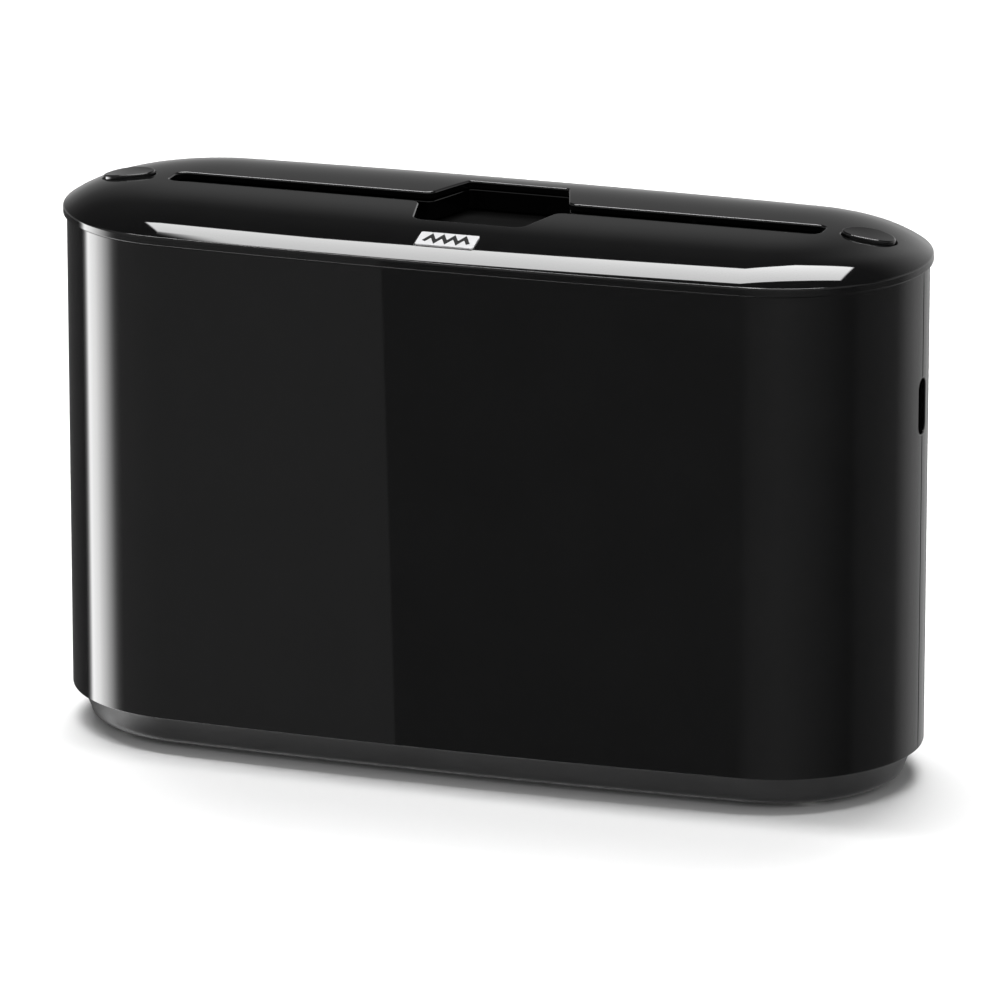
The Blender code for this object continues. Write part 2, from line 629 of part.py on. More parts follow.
# ---------------------------------------------------------------- lift platform
def make_platform(frame):
    corner = [(PLATFORM_END, -PLATFORM_SIDE, WALL), (PLATFORM_END, PLATFORM_SIDE, WALL)]
    outline = corner + [(-x, -y, radius) for x, y, radius in corner]
    platform = prism("lift_platform", rounded_outline(outline, 0), PLATFORM_UNDER, PLATFORM_TOP)
    skirt = prism("rim", rounded_outline(outline, 0), PLATFORM_UNDER - PLATFORM_RIM,
                  PLATFORM_UNDER + GAP)
    cut(skirt, block("trim", (-WIDTH, -PLATFORM_SIDE + PLATFORM_END_WALL, 0),
                     (WIDTH, PLATFORM_SIDE - PLATFORM_END_WALL, HEIGHT)))
    join(platform, skirt)
    for _, side in SIDES:
        join(platform, side_block("end wall", side, PLATFORM_END - PLATFORM_END_WALL, PLATFORM_END,
                                  -PLATFORM_END_WIDTH / 2, PLATFORM_END_WIDTH / 2,
                                  ARM_BOTTOM, PLATFORM_UNDER + GAP))
    cut(platform, rod("hole", (0, ARM_BOTTOM + SLIDER_ARM_HEIGHT / 2), SCREW_RADIUS + GAP,
                      -WIDTH / 2, WIDTH / 2, "X"))
    finish(platform, PLATFORM_GREY, frame)


def make_slider(side_name, side, frame):
    """A sleeve on the guide rod, with an arm through the cheek's slot to the platform."""
    slider = rod(f"{side_name}_slider", (side * ROD_X, 0), SLEEVE_RADIUS,
                 SLEEVE_BOTTOM, SLEEVE_TOP)
    join(slider, side_block("arm", side, PLATFORM_END + GAP, ROD_X,
                            -SLIDER_ARM_WIDTH / 2, SLIDER_ARM_WIDTH / 2, ARM_BOTTOM, SLEEVE_TOP))
    cut(slider, rod("bore", (side * ROD_X, 0), ROD_RADIUS + GAP,
                    SLEEVE_BOTTOM - GAP, SLEEVE_TOP + GAP))
    low_x, high_x = sorted((side * PLATFORM_END, side * (PLATFORM_END + SHORT_SCREW_LENGTH)))
    cut(slider, rod("screw hole", (0, ARM_BOTTOM + SLIDER_ARM_HEIGHT / 2),
                    SCREW_RADIUS + GAP, low_x, high_x, "X"))
    finish(slider, LATCH_WHITE, frame)
    head_x = PLATFORM_END - PLATFORM_END_WALL - GAP - SCREW_HEAD_HEIGHT
    screw(f"slider_screw_{side_name}", (side * head_x, 0, ARM_BOTTOM + SLIDER_ARM_HEIGHT / 2),
          SHORT_SCREW_LENGTH, "X" if side > 0 else "-X", frame)


def make_lift_springs():
    for side_name, side in SIDES:
        spring = coil(f"{side_name}_lift_spring", (side * ROD_X, 0), LIFT_SPRING_RADIUS,
                      LIFT_WIRE_RADIUS, ROD_BOSS_TOP + GAP, SLEEVE_BOTTOM - GAP,
                      LIFT_SPRING_TURNS)
        finish(spring, SPRING_STEEL)


# ---------------------------------------------------------------- lid
def dome_rings(drop, inset, bottom):
    """An upright rim from bottom, then the dome, lowered by drop and moved in by inset."""
    shares = (0.0, 0.03, 0.08, 0.16, 0.27, 0.42, 0.62, 0.88)
    rings = [at_height(oval(inset), bottom)]
    for share in shares:
        reach = share * (END_RADIUS - LID_WALL)
        rings.append(at_height(oval(inset + reach), dome_height(reach) - drop))
    return rings


def lid_fittings():
    """Everything under the lid, built too tall and trimmed to the middle of the lid's wall."""
    fittings = prism("fittings", oval(SKIRT_INSET), LIP - SKIRT_DEPTH, HEIGHT)
    cut(fittings, prism("inside", oval(SKIRT_INSET + SKIRT_WALL), 0, HEIGHT + GAP))
    cage_y = BUTTON_WIDTH / 2 + BUTTON_FLANGE + 2 * RUNNING_GAP
    fork_y = LATCH_WIDTH / 2 + RUNNING_GAP
    for _, side in SIDES:
        for _, half in HALVES:
            low_y, high_y = sorted((half * cage_y, half * (cage_y + CAGE_WALL)))
            join(fittings, side_block("cage web", side, BUTTON_X - CAGE_LENGTH / 2,
                                      BUTTON_X + CAGE_LENGTH / 2, low_y, high_y,
                                      SEAT_UNDER, HEIGHT))
            low_y, high_y = sorted((half * fork_y, half * (fork_y + FORK_WALL)))
            join(fittings, side_block("fork", side, PIVOT_X - HUB_RADIUS, PIVOT_X + HUB_RADIUS,
                                      low_y, high_y, PIVOT_Z - HUB_RADIUS, SEAT_TOP - GAP))
            join(fittings, rod("boss", (side * GUIDE_SCREW_X, half * GUIDE_SCREW_Y),
                               SCREW_RADIUS + CAGE_WALL, FLANGE_TOP + GAP, HEIGHT))
        join(fittings, side_block("seat", side, BUTTON_X - CAGE_LENGTH / 2, PIVOT_X + HUB_RADIUS,
                                  -cage_y - CAGE_WALL, cage_y + CAGE_WALL, SEAT_UNDER, SEAT_TOP))
    envelope = loft("envelope", dome_rings(LID_WALL / 2, LID_WALL / 2, HOOK_BOTTOM))
    combine(fittings, envelope, "INTERSECT")
    return fittings


def badge_block(name, grow, low, high):
    """A block lying on the lid's front slope, between two depths about its surface."""
    step = 0.5 * MM
    slope = (dome_height(BADGE_SETBACK + step) - dome_height(BADGE_SETBACK - step)) / (2 * step)
    half_length, half_width = BADGE_LENGTH / 2 + grow, BADGE_WIDTH / 2 + grow
    plate = block(name, (-half_length, -half_width, low), (half_length, half_width, high))
    place = (BADGE_OFFSET, BADGE_SETBACK - DEPTH / 2, dome_height(BADGE_SETBACK))
    turn = Matrix.Rotation(math.atan(slope), 4, "X")
    plate.data.transform(Matrix.Translation(place) @ turn)
    return plate


def make_lid(frame):
    lid = loft("lid", dome_rings(0, 0, LIP))
    cut(lid, loft("inside", dome_rings(LID_WALL, LID_WALL, LIP - GAP)))
    join(lid, lid_fittings())
    cut(lid, prism("opening", opening_outline(), GUIDE_BOTTOM, HEIGHT + GAP))
    for _, side in SIDES:
        hole = ellipse(side * BUTTON_X, BUTTON_LENGTH / 2 + RUNNING_GAP,
                       BUTTON_WIDTH / 2 + RUNNING_GAP)
        cut(lid, prism("button hole", hole, SEAT_TOP + GAP, HEIGHT + GAP))
        cut(lid, rod("stem hole", (side * BUTTON_X, 0), STEM_RADIUS + RUNNING_GAP,
                     SEAT_UNDER - GAP, SEAT_TOP + GAP))
        cut(lid, rod("pin hole", (side * PIVOT_X, PIVOT_Z), PIN_RADIUS + PIN_CLEARANCE,
                     -DEPTH / 4, DEPTH / 4, "Y"))
        for _, half in HALVES:
            cut(lid, rod("screw hole", (side * GUIDE_SCREW_X, half * GUIDE_SCREW_Y),
                         SCREW_RADIUS + GAP, FLANGE_TOP, HEIGHT - LID_WALL / 2))
    cut(lid, badge_block("badge pocket", GAP, BADGE_PROUD - BADGE_THICKNESS - GAP, LID_WALL))
    finish(lid, LID_BLACK, frame)


def make_badge(frame):
    badge = badge_block("badge", 0, BADGE_PROUD - BADGE_THICKNESS, BADGE_PROUD)
    finish(badge, BADGE_SILVER, frame)


def make_guide(frame):
    """The wall that follows the opening under the lid, with its screwed flange."""
    reach = max(FRONT_REACH, REAR_REACH) + GAP + GUIDE_WALL
    roof = dome_height(DEPTH / 2 - reach - LID_WALL) - LID_WALL
    guide = prism("napkin_guide", opening_outline(GAP + GUIDE_WALL), GUIDE_BOTTOM, roof - GAP)
    join(guide, prism("flange", opening_outline(GAP + GUIDE_WALL + GUIDE_FLANGE),
                      FLANGE_UNDER, FLANGE_TOP))
    places = [(side * GUIDE_SCREW_X, half * GUIDE_SCREW_Y) for _, half in HALVES for _, side in SIDES]
    for place in places:
        join(guide, rod("ear", place, EAR_RADIUS, FLANGE_UNDER, FLANGE_TOP))
        cut(guide, rod("hole", place, SCREW_RADIUS + GAP, FLANGE_UNDER - GAP, FLANGE_TOP + GAP))
    cut(guide, prism("inside", opening_outline(GAP), GUIDE_BOTTOM - GAP, HEIGHT))
    finish(guide, GUIDE_BLACK, frame)


def make_guide_screws(frame):
    head_z = FLANGE_UNDER - GAP - SCREW_HEAD_HEIGHT
    length = HEIGHT - LID_WALL / 2 - GAP - FLANGE_UNDER
    for half_name, half in HALVES:
        for side_name, side in SIDES:
            screw(f"guide_screw_{half_name}_{side_name}",
                  (side * GUIDE_SCREW_X, half * GUIDE_SCREW_Y, head_z), length, "Z", frame)


# ---------------------------------------------------------------- buttons and latches
def button_face(x, y):
    """Height of the button's top, before its dish."""
    return dome_height(END_RADIUS - math.hypot(abs(x) - END_CENTRE, y)) + BUTTON_PROUD


def make_button(side_name, side, frame):
    half_length, half_width = BUTTON_LENGTH / 2, BUTTON_WIDTH / 2
    flange_z = SEAT_TOP + BUTTON_TRAVEL + GAP
    flange_top = flange_z + BUTTON_FLANGE_THICKNESS
    flange = ellipse(side * BUTTON_X, half_length + BUTTON_FLANGE, half_width + BUTTON_FLANGE)
    rings = [at_height(flange, flange_z), at_height(flange, flange_top),
             at_height(ellipse(side * BUTTON_X, half_length, half_width), flange_top)]
    edge = 0.6 * MM
    for inset, drop in ((0, edge), (edge / 3, edge / 3), (edge, 0)):
        outline = ellipse(side * BUTTON_X, half_length - inset, half_width - inset)
        rings.append([(x, y, button_face(x, y) - drop) for x, y in outline])
    for share in (0.75, 0.5, 0.25):
        outline = ellipse(side * BUTTON_X, half_length * share, half_width * share)
        dish = BUTTON_DISH * (1 - share ** 2)
        rings.append([(x, y, button_face(x, y) - dish) for x, y in outline])
    button = loft(f"{side_name}_button", rings)
    ceiling = button_face(BUTTON_X, 0) - BUTTON_DISH - BUTTON_ROOF
    cut(button, rod("pocket", (side * BUTTON_X, 0), POCKET_RADIUS, flange_z - GAP, ceiling))
    stem_rings = []
    for step in range(4):
        turn = math.pi / 2 * (step + 0.5) / 3.5
        circle = arc(side * BUTTON_X, 0, STEM_RADIUS * math.sin(turn), 0, 2 * math.pi, ROUND_STEPS)
        stem_rings.append(at_height(circle[:-1], STEM_TIP + STEM_RADIUS * (1 - math.cos(turn))))
    stem_rings.append([(x, y, ceiling + GAP) for x, y, _ in stem_rings[-1]])
    join(button, loft("stem", stem_rings))
    finish(button, BUTTON_BLACK, frame)


def make_button_spring(side_name, side, frame):
    ceiling = button_face(BUTTON_X, 0) - BUTTON_DISH - BUTTON_ROOF
    spring = coil(f"{side_name}_button_spring", (side * BUTTON_X, 0), BUTTON_SPRING_RADIUS,
                  BUTTON_WIRE_RADIUS, SEAT_TOP + GAP / 2, ceiling - GAP / 2,
                  BUTTON_SPRING_TURNS)
    finish(spring, SPRING_STEEL, frame)


def make_latch(side_name, side, frame):
    """An L-shaped lever: the button pushes its arm down, and its hook swings outwards."""
    half_width, half_thick = LATCH_WIDTH / 2, LATCH_THICKNESS / 2
    latch = rod(f"{side_name}_latch", (side * PIVOT_X, PIVOT_Z), HUB_RADIUS,
                -half_width, half_width, "Y")
    join(latch, side_block("arm", side, BUTTON_X - STEM_RADIUS - RUNNING_GAP, PIVOT_X,
                           -half_width, half_width, PIVOT_Z - half_thick, ARM_TOP))
    join(latch, side_block("shank", side, PIVOT_X - half_thick, PIVOT_X + half_thick,
                           -half_width, half_width, HOOK_BOTTOM, PIVOT_Z))
    join(latch, side_block("hook", side, HOOK_TIP, PIVOT_X,
                           -half_width, half_width, HOOK_BOTTOM, HOOK_TOP))
    cut(latch, rod("pin hole", (side * PIVOT_X, PIVOT_Z), PIN_RADIUS + PIN_CLEARANCE,
                   -LATCH_WIDTH, LATCH_WIDTH, "Y"))
    finish(latch, LATCH_WHITE, frame)


def make_latch_pin(side_name, side, frame):
    reach = LATCH_WIDTH / 2 + RUNNING_GAP + FORK_WALL
    pin = rod(f"{side_name}_latch_pin", (side * PIVOT_X, PIVOT_Z), PIN_RADIUS, -reach, reach, "Y")
    finish(pin, ROD_STEEL, frame)


# ---------------------------------------------------------------- assembly
make_base()
make_feet()
make_base_screws()
for half_label, half_sign in HALVES:
    make_shell(half_label, half_sign)
make_seam_screws()
make_guide_rods()
make_lift_springs()

platform_frame = joint_frame("platform_slide", (0, 0, PLATFORM_TOP))
make_platform(platform_frame)

lid_frame = joint_frame("lid_lift", (0, 0, LIP))
make_lid(lid_frame)
make_badge(lid_frame)
make_guide(lid_frame)
make_guide_screws(lid_frame)

for label, sign in SIDES:
    make_cheek(label, sign)
    make_slider(label, sign, platform_frame)
    button_frame = joint_frame(f"{label}_button_press", (sign * BUTTON_X, 0, SEAT_TOP), lid_frame)
    make_button(label, sign, button_frame)
    make_button_spring(label, sign, lid_frame)
    latch_frame = joint_frame(f"{label}_latch_turn", (sign * PIVOT_X, 0, PIVOT_Z), lid_frame)
    make_latch(label, sign, latch_frame)
    make_latch_pin(label, sign, lid_frame)
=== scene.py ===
"""The looks of a counter-top napkin dispenser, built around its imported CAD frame.

Everything is in metres in the frame's own axes: +Z up, X along the width, the front
faces -Y, and the table is z = 0.
"""

import math

import bmesh
import bpy
import numpy as np
from mathutils import Matrix, Vector
from mathutils.geometry import delaunay_2d_cdt


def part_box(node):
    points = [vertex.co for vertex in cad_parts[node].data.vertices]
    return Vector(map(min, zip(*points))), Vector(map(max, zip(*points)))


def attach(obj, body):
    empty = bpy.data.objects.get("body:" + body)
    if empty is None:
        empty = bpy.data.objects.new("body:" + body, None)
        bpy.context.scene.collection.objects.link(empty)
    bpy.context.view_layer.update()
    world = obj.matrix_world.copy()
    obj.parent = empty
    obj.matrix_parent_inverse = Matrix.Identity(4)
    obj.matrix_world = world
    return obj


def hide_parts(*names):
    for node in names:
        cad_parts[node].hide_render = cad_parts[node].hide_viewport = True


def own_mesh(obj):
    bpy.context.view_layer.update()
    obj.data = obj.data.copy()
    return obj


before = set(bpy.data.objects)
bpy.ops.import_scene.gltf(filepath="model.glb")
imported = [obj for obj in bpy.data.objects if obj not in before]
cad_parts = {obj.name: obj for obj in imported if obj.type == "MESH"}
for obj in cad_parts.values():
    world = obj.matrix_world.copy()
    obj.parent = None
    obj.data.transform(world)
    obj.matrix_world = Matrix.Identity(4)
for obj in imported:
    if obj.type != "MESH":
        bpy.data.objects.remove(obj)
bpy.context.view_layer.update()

MM = 0.001
SIDES = (("left", -1), ("right", 1))
HALVES = (("front", -1), ("rear", 1))

# ---------------------------------------------------------------- sizes read from the frame
LID_LOW, LID_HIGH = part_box("lid")
SHELL_LOW, SHELL_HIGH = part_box("front_shell")
BASE_LOW, BASE_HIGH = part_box("base")
GUIDE_LOW, GUIDE_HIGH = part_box("napkin_guide")
BUTTON_LOW, BUTTON_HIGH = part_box("right_button")
CHEEK_LOW, CHEEK_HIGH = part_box("right_cheek")
ROD_LOW, ROD_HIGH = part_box("right_guide_rod")
SLIDER_LOW, SLIDER_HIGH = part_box("right_slider")
PLATFORM_LOW, PLATFORM_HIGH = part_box("lift_platform")
LATCH_LOW, LATCH_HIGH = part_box("right_latch")
PIN_LOW, PIN_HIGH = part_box("right_latch_pin")
BADGE_LOW, BADGE_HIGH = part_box("badge")

HALF_WIDTH = LID_HIGH.x
HALF_DEPTH = LID_HIGH.y
TOP = LID_HIGH.z
GAP = 0.3 * MM
LIP = SHELL_HIGH.z + GAP                    # bottom edge of the lid
SHELL_INSET = HALF_WIDTH - SHELL_HIGH.x
WALL = 2.5 * MM
EDGE = 0.4 * MM                             # usual radius of a rounded edge
FINE_EDGE = 0.3 * MM                        # and of a small part's edge
SHELL_INNER = SHELL_INSET + WALL
PLINTH_INSET = HALF_WIDTH - BASE_HIGH.x
BUTTON_X = (BUTTON_LOW.x + BUTTON_HIGH.x) / 2
ROD_X = (ROD_LOW.x + ROD_HIGH.x) / 2
PIVOT_X = (PIN_LOW.x + PIN_HIGH.x) / 2
PIVOT_Z = (PIN_LOW.z + PIN_HIGH.z) / 2
BADGE_CENTRE = (BADGE_LOW + BADGE_HIGH) / 2

# ---------------------------------------------------------------- shape of the shells and lid
FRONT_BOW = 2.65 * MM                       # bulge of the long sides past the end arcs
END_RADIUS = HALF_DEPTH - FRONT_BOW
END_CENTRE = HALF_WIDTH - END_RADIUS
SIDE_RADIUS = (END_CENTRE ** 2 + HALF_DEPTH ** 2 - END_RADIUS ** 2) / (2 * FRONT_BOW)
SIDE_CENTRE = SIDE_RADIUS - HALF_DEPTH
MEET = math.atan2(SIDE_CENTRE, END_CENTRE)  # where an end arc turns into a side arc
RIM = 2.8 * MM                              # upright rim of the lid, under the dome
DOME_REACH = HALF_DEPTH                     # the dome rises all the way to the middle
DOME_RISE = TOP - LIP - RIM
DOME_POWER = 4.8                            # how quickly it levels out from its edge
SLOT_END = 122.8 * MM
SLOT_HALF = 6.5 * MM
END_STEPS = 64
SIDE_STEPS = 60


class Loop:
    """A closed plan outline: points, and normals that face away from the solid."""

    def __init__(self, points, normals):
        self.points = np.array(points, float)
        self.normals = np.array(normals, float)

    def moved(self, offset):
        return Loop(self.points + self.normals * offset, self.normals)

    def hole(self):
        return Loop(self.points, -self.normals)


def arc(centre, radius, start, end, steps, out=1):
    turns = np.linspace(start, end, steps + 1)
    ways = np.column_stack([np.cos(turns), np.sin(turns)])
    return np.array(centre) + radius * ways, ways * out


def oval(end_steps=END_STEPS, side_steps=SIDE_STEPS):
    """The lid's plan outline: two end arcs and two long side arcs."""
    end, end_normals = arc((END_CENTRE, 0), END_RADIUS, -MEET, MEET, end_steps)
    side, side_normals = arc((0, -SIDE_CENTRE), SIDE_RADIUS, MEET, math.pi - MEET, side_steps)
    points = np.concatenate([end, side[1:-1]])
    normals = np.concatenate([end_normals, side_normals[1:-1]])
    return Loop(np.concatenate([points, -points]), np.concatenate([normals, -normals]))


def circle(x, y, radius, steps=48):
    points, normals = arc((x, y), radius, 0, 2 * math.pi, steps)
    return Loop(points[:-1], normals[:-1])


def ellipse(x, half_length, half_width, steps=96):
    turns = np.linspace(0, 2 * math.pi, steps, endpoint=False)
    points = np.column_stack([x + half_length * np.cos(turns), half_width * np.sin(turns)])
    normals = np.column_stack([np.cos(turns) / half_length, np.sin(turns) / half_width])
    return Loop(points, normals / np.linalg.norm(normals, axis=1)[:, None])


def rounded(corners, steps=8, spacing=None, offset=0.0):
    """An anticlockwise outline of (x, y, radius) corners, moved out by offset."""
    count = len(corners)
    outs = []
    for index, (x, y, _) in enumerate(corners):
        follow = corners[(index + 1) % count]
        edge = Vector((follow[0] - x, follow[1] - y)).normalized()
        outs.append(Vector((edge.y, -edge.x)))
    points, normals = [], []
    for index, (x, y, radius) in enumerate(corners):
        before, after = outs[index - 1], outs[index]
        turn = math.atan2(before.x * after.y - before.y * after.x, before.dot(after))
        way = 1 if turn > 0 else -1
        bisector = (before + after).normalized()
        reach = 1 / bisector.dot(after)
        fillet = max(radius + offset * way, 0.15 * MM)
        centre = Vector((x, y)) + bisector * (offset - fillet * way) * reach
        first = math.atan2(before.y * way, before.x * way)
        bend, bend_normals = arc(tuple(centre), fillet, first, first + turn, steps, way)
        if spacing and points:
            start = points[-1]
            gap = bend[0] - start
            extra = int(np.linalg.norm(gap) / spacing)
            for step in range(1, extra):
                points.append(start + gap * step / extra)
                normals.append(bend_normals[0])
        points += list(bend)
        normals += list(bend_normals)
    return Loop(points, normals)


def box_loop(low_x, high_x, low_y, high_y, radius=EDGE, steps=3):
    return rounded([(low_x, low_y, radius), (high_x, low_y, radius),
                    (high_x, high_y, radius), (low_x, high_y, radius)], steps)


def mirrored(corners):
    return corners + [(-x, y, radius) for x, y, radius in reversed(corners)]


OVAL = oval()
OPENING_CORNERS = mirrored([
    (20.3 * MM, -29.5 * MM, 4.5 * MM), (26.0 * MM, -SLOT_HALF, 4.0 * MM),
    (SLOT_END, -SLOT_HALF, 4.0 * MM), (SLOT_END, SLOT_HALF, 4.0 * MM),
    (26.0 * MM, SLOT_HALF, 4.0 * MM), (18.6 * MM, 28.6 * MM, 1.5 * MM)])


def opening(offset=0.0):
    """The slot through the lid with the wider opening in its middle."""
    return rounded(OPENING_CORNERS, 10, 4 * MM, offset)


def span(sign, near, far):
    """The two ends of a range on one side of the middle, the lower one first."""
    return sorted((sign * near, sign * far))


# ---------------------------------------------------------------- surfaces
def inset_of(points):
    """Distance in from the lid's rim, and the outward direction, at plan points."""
    points = np.asarray(points, float).reshape(-1, 2)
    signs = np.where(points < 0, -1.0, 1.0)
    along, across = np.abs(points[:, 0]), np.abs(points[:, 1])
    end = np.column_stack([along - END_CENTRE, across])
    side = np.column_stack([along, across + SIDE_CENTRE])
    at_end = np.arctan2(end[:, 1], end[:, 0]) < MEET
    way = np.where(at_end[:, None], end, side)
    far = np.maximum(np.linalg.norm(way, axis=1), 1e-9)
    inset = np.where(at_end, END_RADIUS, SIDE_RADIUS) - far
    return inset, way / far[:, None] * signs


def dome(drop=0.0, start=0.0, up=1):
    """The lid's outer face, or its inner one lowered by drop and moved in by start."""
    def surface(points):
        inset, out = inset_of(points)
        share = np.clip((inset - start) / DOME_REACH, 0, 1)
        height = LIP + RIM + DOME_RISE * (1 - (1 - share) ** DOME_POWER) - drop
        slope = DOME_RISE * DOME_POWER / DOME_REACH * (1 - share) ** (DOME_POWER - 1)
        normals = np.column_stack([out * slope[:, None], np.ones(len(out))])
        normals /= np.linalg.norm(normals, axis=1)[:, None]
        return height, normals * up
    return surface


def flat(height, up=1):
    def surface(points):
        return np.full(len(points), height), np.tile((0.0, 0.0, up), (len(points), 1))
    return surface


def dome_height(inset):
    share = min(max(inset / DOME_REACH, 0), 1)
    return LIP + RIM + DOME_RISE * (1 - (1 - share) ** DOME_POWER)


# ---------------------------------------------------------------- mesh building
class Skin:
    """A mesh in the making: points with their own normals, and faces between them."""

    def __init__(self):
        self.points, self.normals, self.flat, self.faces = [], [], [], []
        self.place = Matrix.Identity(4)

    def add(self, points, normals, plan=None):
        turn = np.array(self.place.to_3x3())
        shift = np.array(self.place.translation)
        first = len(self.points)
        self.points.extend(np.asarray(points) @ turn.T + shift)
        self.normals.extend(np.asarray(normals) @ turn.T)
        self.flat.extend(np.asarray(points)[:, :2] if plan is None else plan)
        return list(range(first, len(self.points)))

    def ring(self, loop, offset, surface, drop=0.0, lean=90.0):
        """The loop moved out by offset on a surface, lowered by drop.

        Its normals turn from sideways at lean 0 to the surface's own at lean 90."""
        plan = loop.points + loop.normals * offset
        height, up = surface(plan)
        angle = math.radians(lean)
        out = np.column_stack([loop.normals, np.zeros(len(plan))])
        normals = out * math.cos(angle) + up * math.sin(angle)
        normals /= np.linalg.norm(normals, axis=1)[:, None]
        return self.add(np.column_stack([plan, height - drop]), normals, plan)

    def band(self, ring, follow, closed=True):
        count = len(ring)
        for index in range(count if closed else count - 1):
            after = (index + 1) % count
            self.faces.append((ring[index], ring[after], follow[after], follow[index]))

    def chain(self, rings):
        for ring, follow in zip(rings, rings[1:]):
            self.band(ring, follow)

    def rounding(self, loop, surface, radius, steps=4, down=1):
        """Rings that turn from a surface over the loop's edge to a wall."""
        rings = []
        for step in range(steps + 1):
            lean = 90 * (1 - step / steps)
            angle = math.radians(lean)
            rings.append(self.ring(loop, -radius * (1 - math.cos(angle)), surface,
                                   down * radius * (1 - math.sin(angle)), lean))
        return rings

    def fill(self, rings, surface=None, extra=()):
        """Triangles over the plan area inside the first ring and outside the others."""
        index = [i for ring in rings for i in ring]
        plan = [self.flat[i] for i in index]
        edges, start = [], 0
        for ring in rings:
            count = len(ring)
            edges += [(start + i, start + (i + 1) % count) for i in range(count)]
            start += count
        if len(extra):
            height, normals = surface(np.asarray(extra))
            index += self.add(np.column_stack([extra, height]), normals)
            plan += list(extra)
        scale = 1000.0
        found = delaunay_2d_cdt([Vector(p) * scale for p in plan], edges, [], 0, 1e-7)
        corner = np.array([tuple(v) for v in found[0]])
        source = [index[origin[0]] for origin in found[3]]
        middle = corner[np.array(found[2])].mean(axis=1) / scale
        loops = [np.array([self.flat[i] for i in ring]) for ring in rings]
        for triangle, keep in zip(found[2], inside(middle, loops)):
            if keep:
                self.faces.append(tuple(source[i] for i in triangle))

    def close(self, ring, point, normal):
        """A fan from a ring to one point."""
        middle = self.add([point], [normal])[0]
        for index, start in enumerate(ring):
            self.faces.append((start, ring[(index + 1) % len(ring)], middle))


def inside(points, loops):
    """Even-odd test of plan points against closed loops."""
    result = np.zeros(len(points), bool)
    for loop in loops:
        after = np.roll(loop, -1, axis=0)
        for (x, y), (next_x, next_y) in zip(loop, after):
            if y == next_y:
                continue
            crosses = (y > points[:, 1]) != (next_y > points[:, 1])
            at = x + (points[:, 1] - y) * (next_x - x) / (next_y - y)
            result ^= crosses & (points[:, 0] < at)
    return result


def build(name, skin, made, body, slot, *nodes):
    """One piece from a skin; it rides on a body and stands for CAD nodes."""
    mesh = bpy.data.meshes.new(name)
    bm = bmesh.new()
    corners = [bm.verts.new(point) for point in skin.points]
    for face in skin.faces:
        bm.faces.new([corners[i] for i in face])
    bmesh.ops.recalc_face_normals(bm, faces=bm.faces)
    for face in bm.faces:
        face.smooth = True
    bm.to_mesh(mesh)
    bm.free()
    mesh.normals_split_custom_set_from_vertices([Vector(n).normalized() for n in skin.normals])
    mesh.materials.append(made)
    piece = bpy.data.objects.new(name, mesh)
    bpy.context.scene.collection.objects.link(piece)
    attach(piece, body)
    if nodes:
        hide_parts(*nodes)
    return piece


def plate(skin, outline, low, high, edge=EDGE, holes=(), steps=3):
    """A flat plate from low to high, rounded over at its rim and its holes."""
    tops, bottoms = [], []
    for loop in [outline] + [hole.hole() for hole in holes]:
        upper = skin.rounding(loop, flat(high), edge, steps)
        lower = skin.rounding(loop, flat(low, -1), edge, steps, -1)
        skin.chain(upper + lower[::-1])
        tops.append(upper[0])
        bottoms.append(lower[0])
    skin.fill(tops)
    skin.fill(bottoms)


def block(skin, low, high, edge=EDGE):
    plate(skin, box_loop(low[0], high[0], low[1], high[1], edge), low[2], high[2], edge)


def side_block(skin, side, inner, outer, low_y, high_y, low_z, high_z, edge=EDGE):
    low_x, high_x = span(side, inner, outer)
    block(skin, (low_x, low_y, low_z), (high_x, high_y, high_z), edge)


def facing(axis, origin=(0, 0, 0)):
    """A placing whose local Z is the named axis; local X and Y are the other two in order."""
    columns = {"X": ((0, 1, 0), (0, 0, 1), (1, 0, 0)), "Y": ((1, 0, 0), (0, 0, 1), (0, 1, 0)),
               "-X": ((0, 1, 0), (0, 0, 1), (-1, 0, 0)), "Z": ((1, 0, 0), (0, 1, 0), (0, 0, 1)),
               "-Z": ((1, 0, 0), (0, -1, 0), (0, 0, -1))}[axis]
    turn = Matrix(columns).transposed().to_4x4()
    return Matrix.Translation(origin) @ turn


# ---------------------------------------------------------------- materials
def node(tree, kind, **sockets):
    made = tree.nodes.new(kind)
    for name, value in sockets.items():
        made.inputs[name.replace("_", " ")].default_value = value
    return made


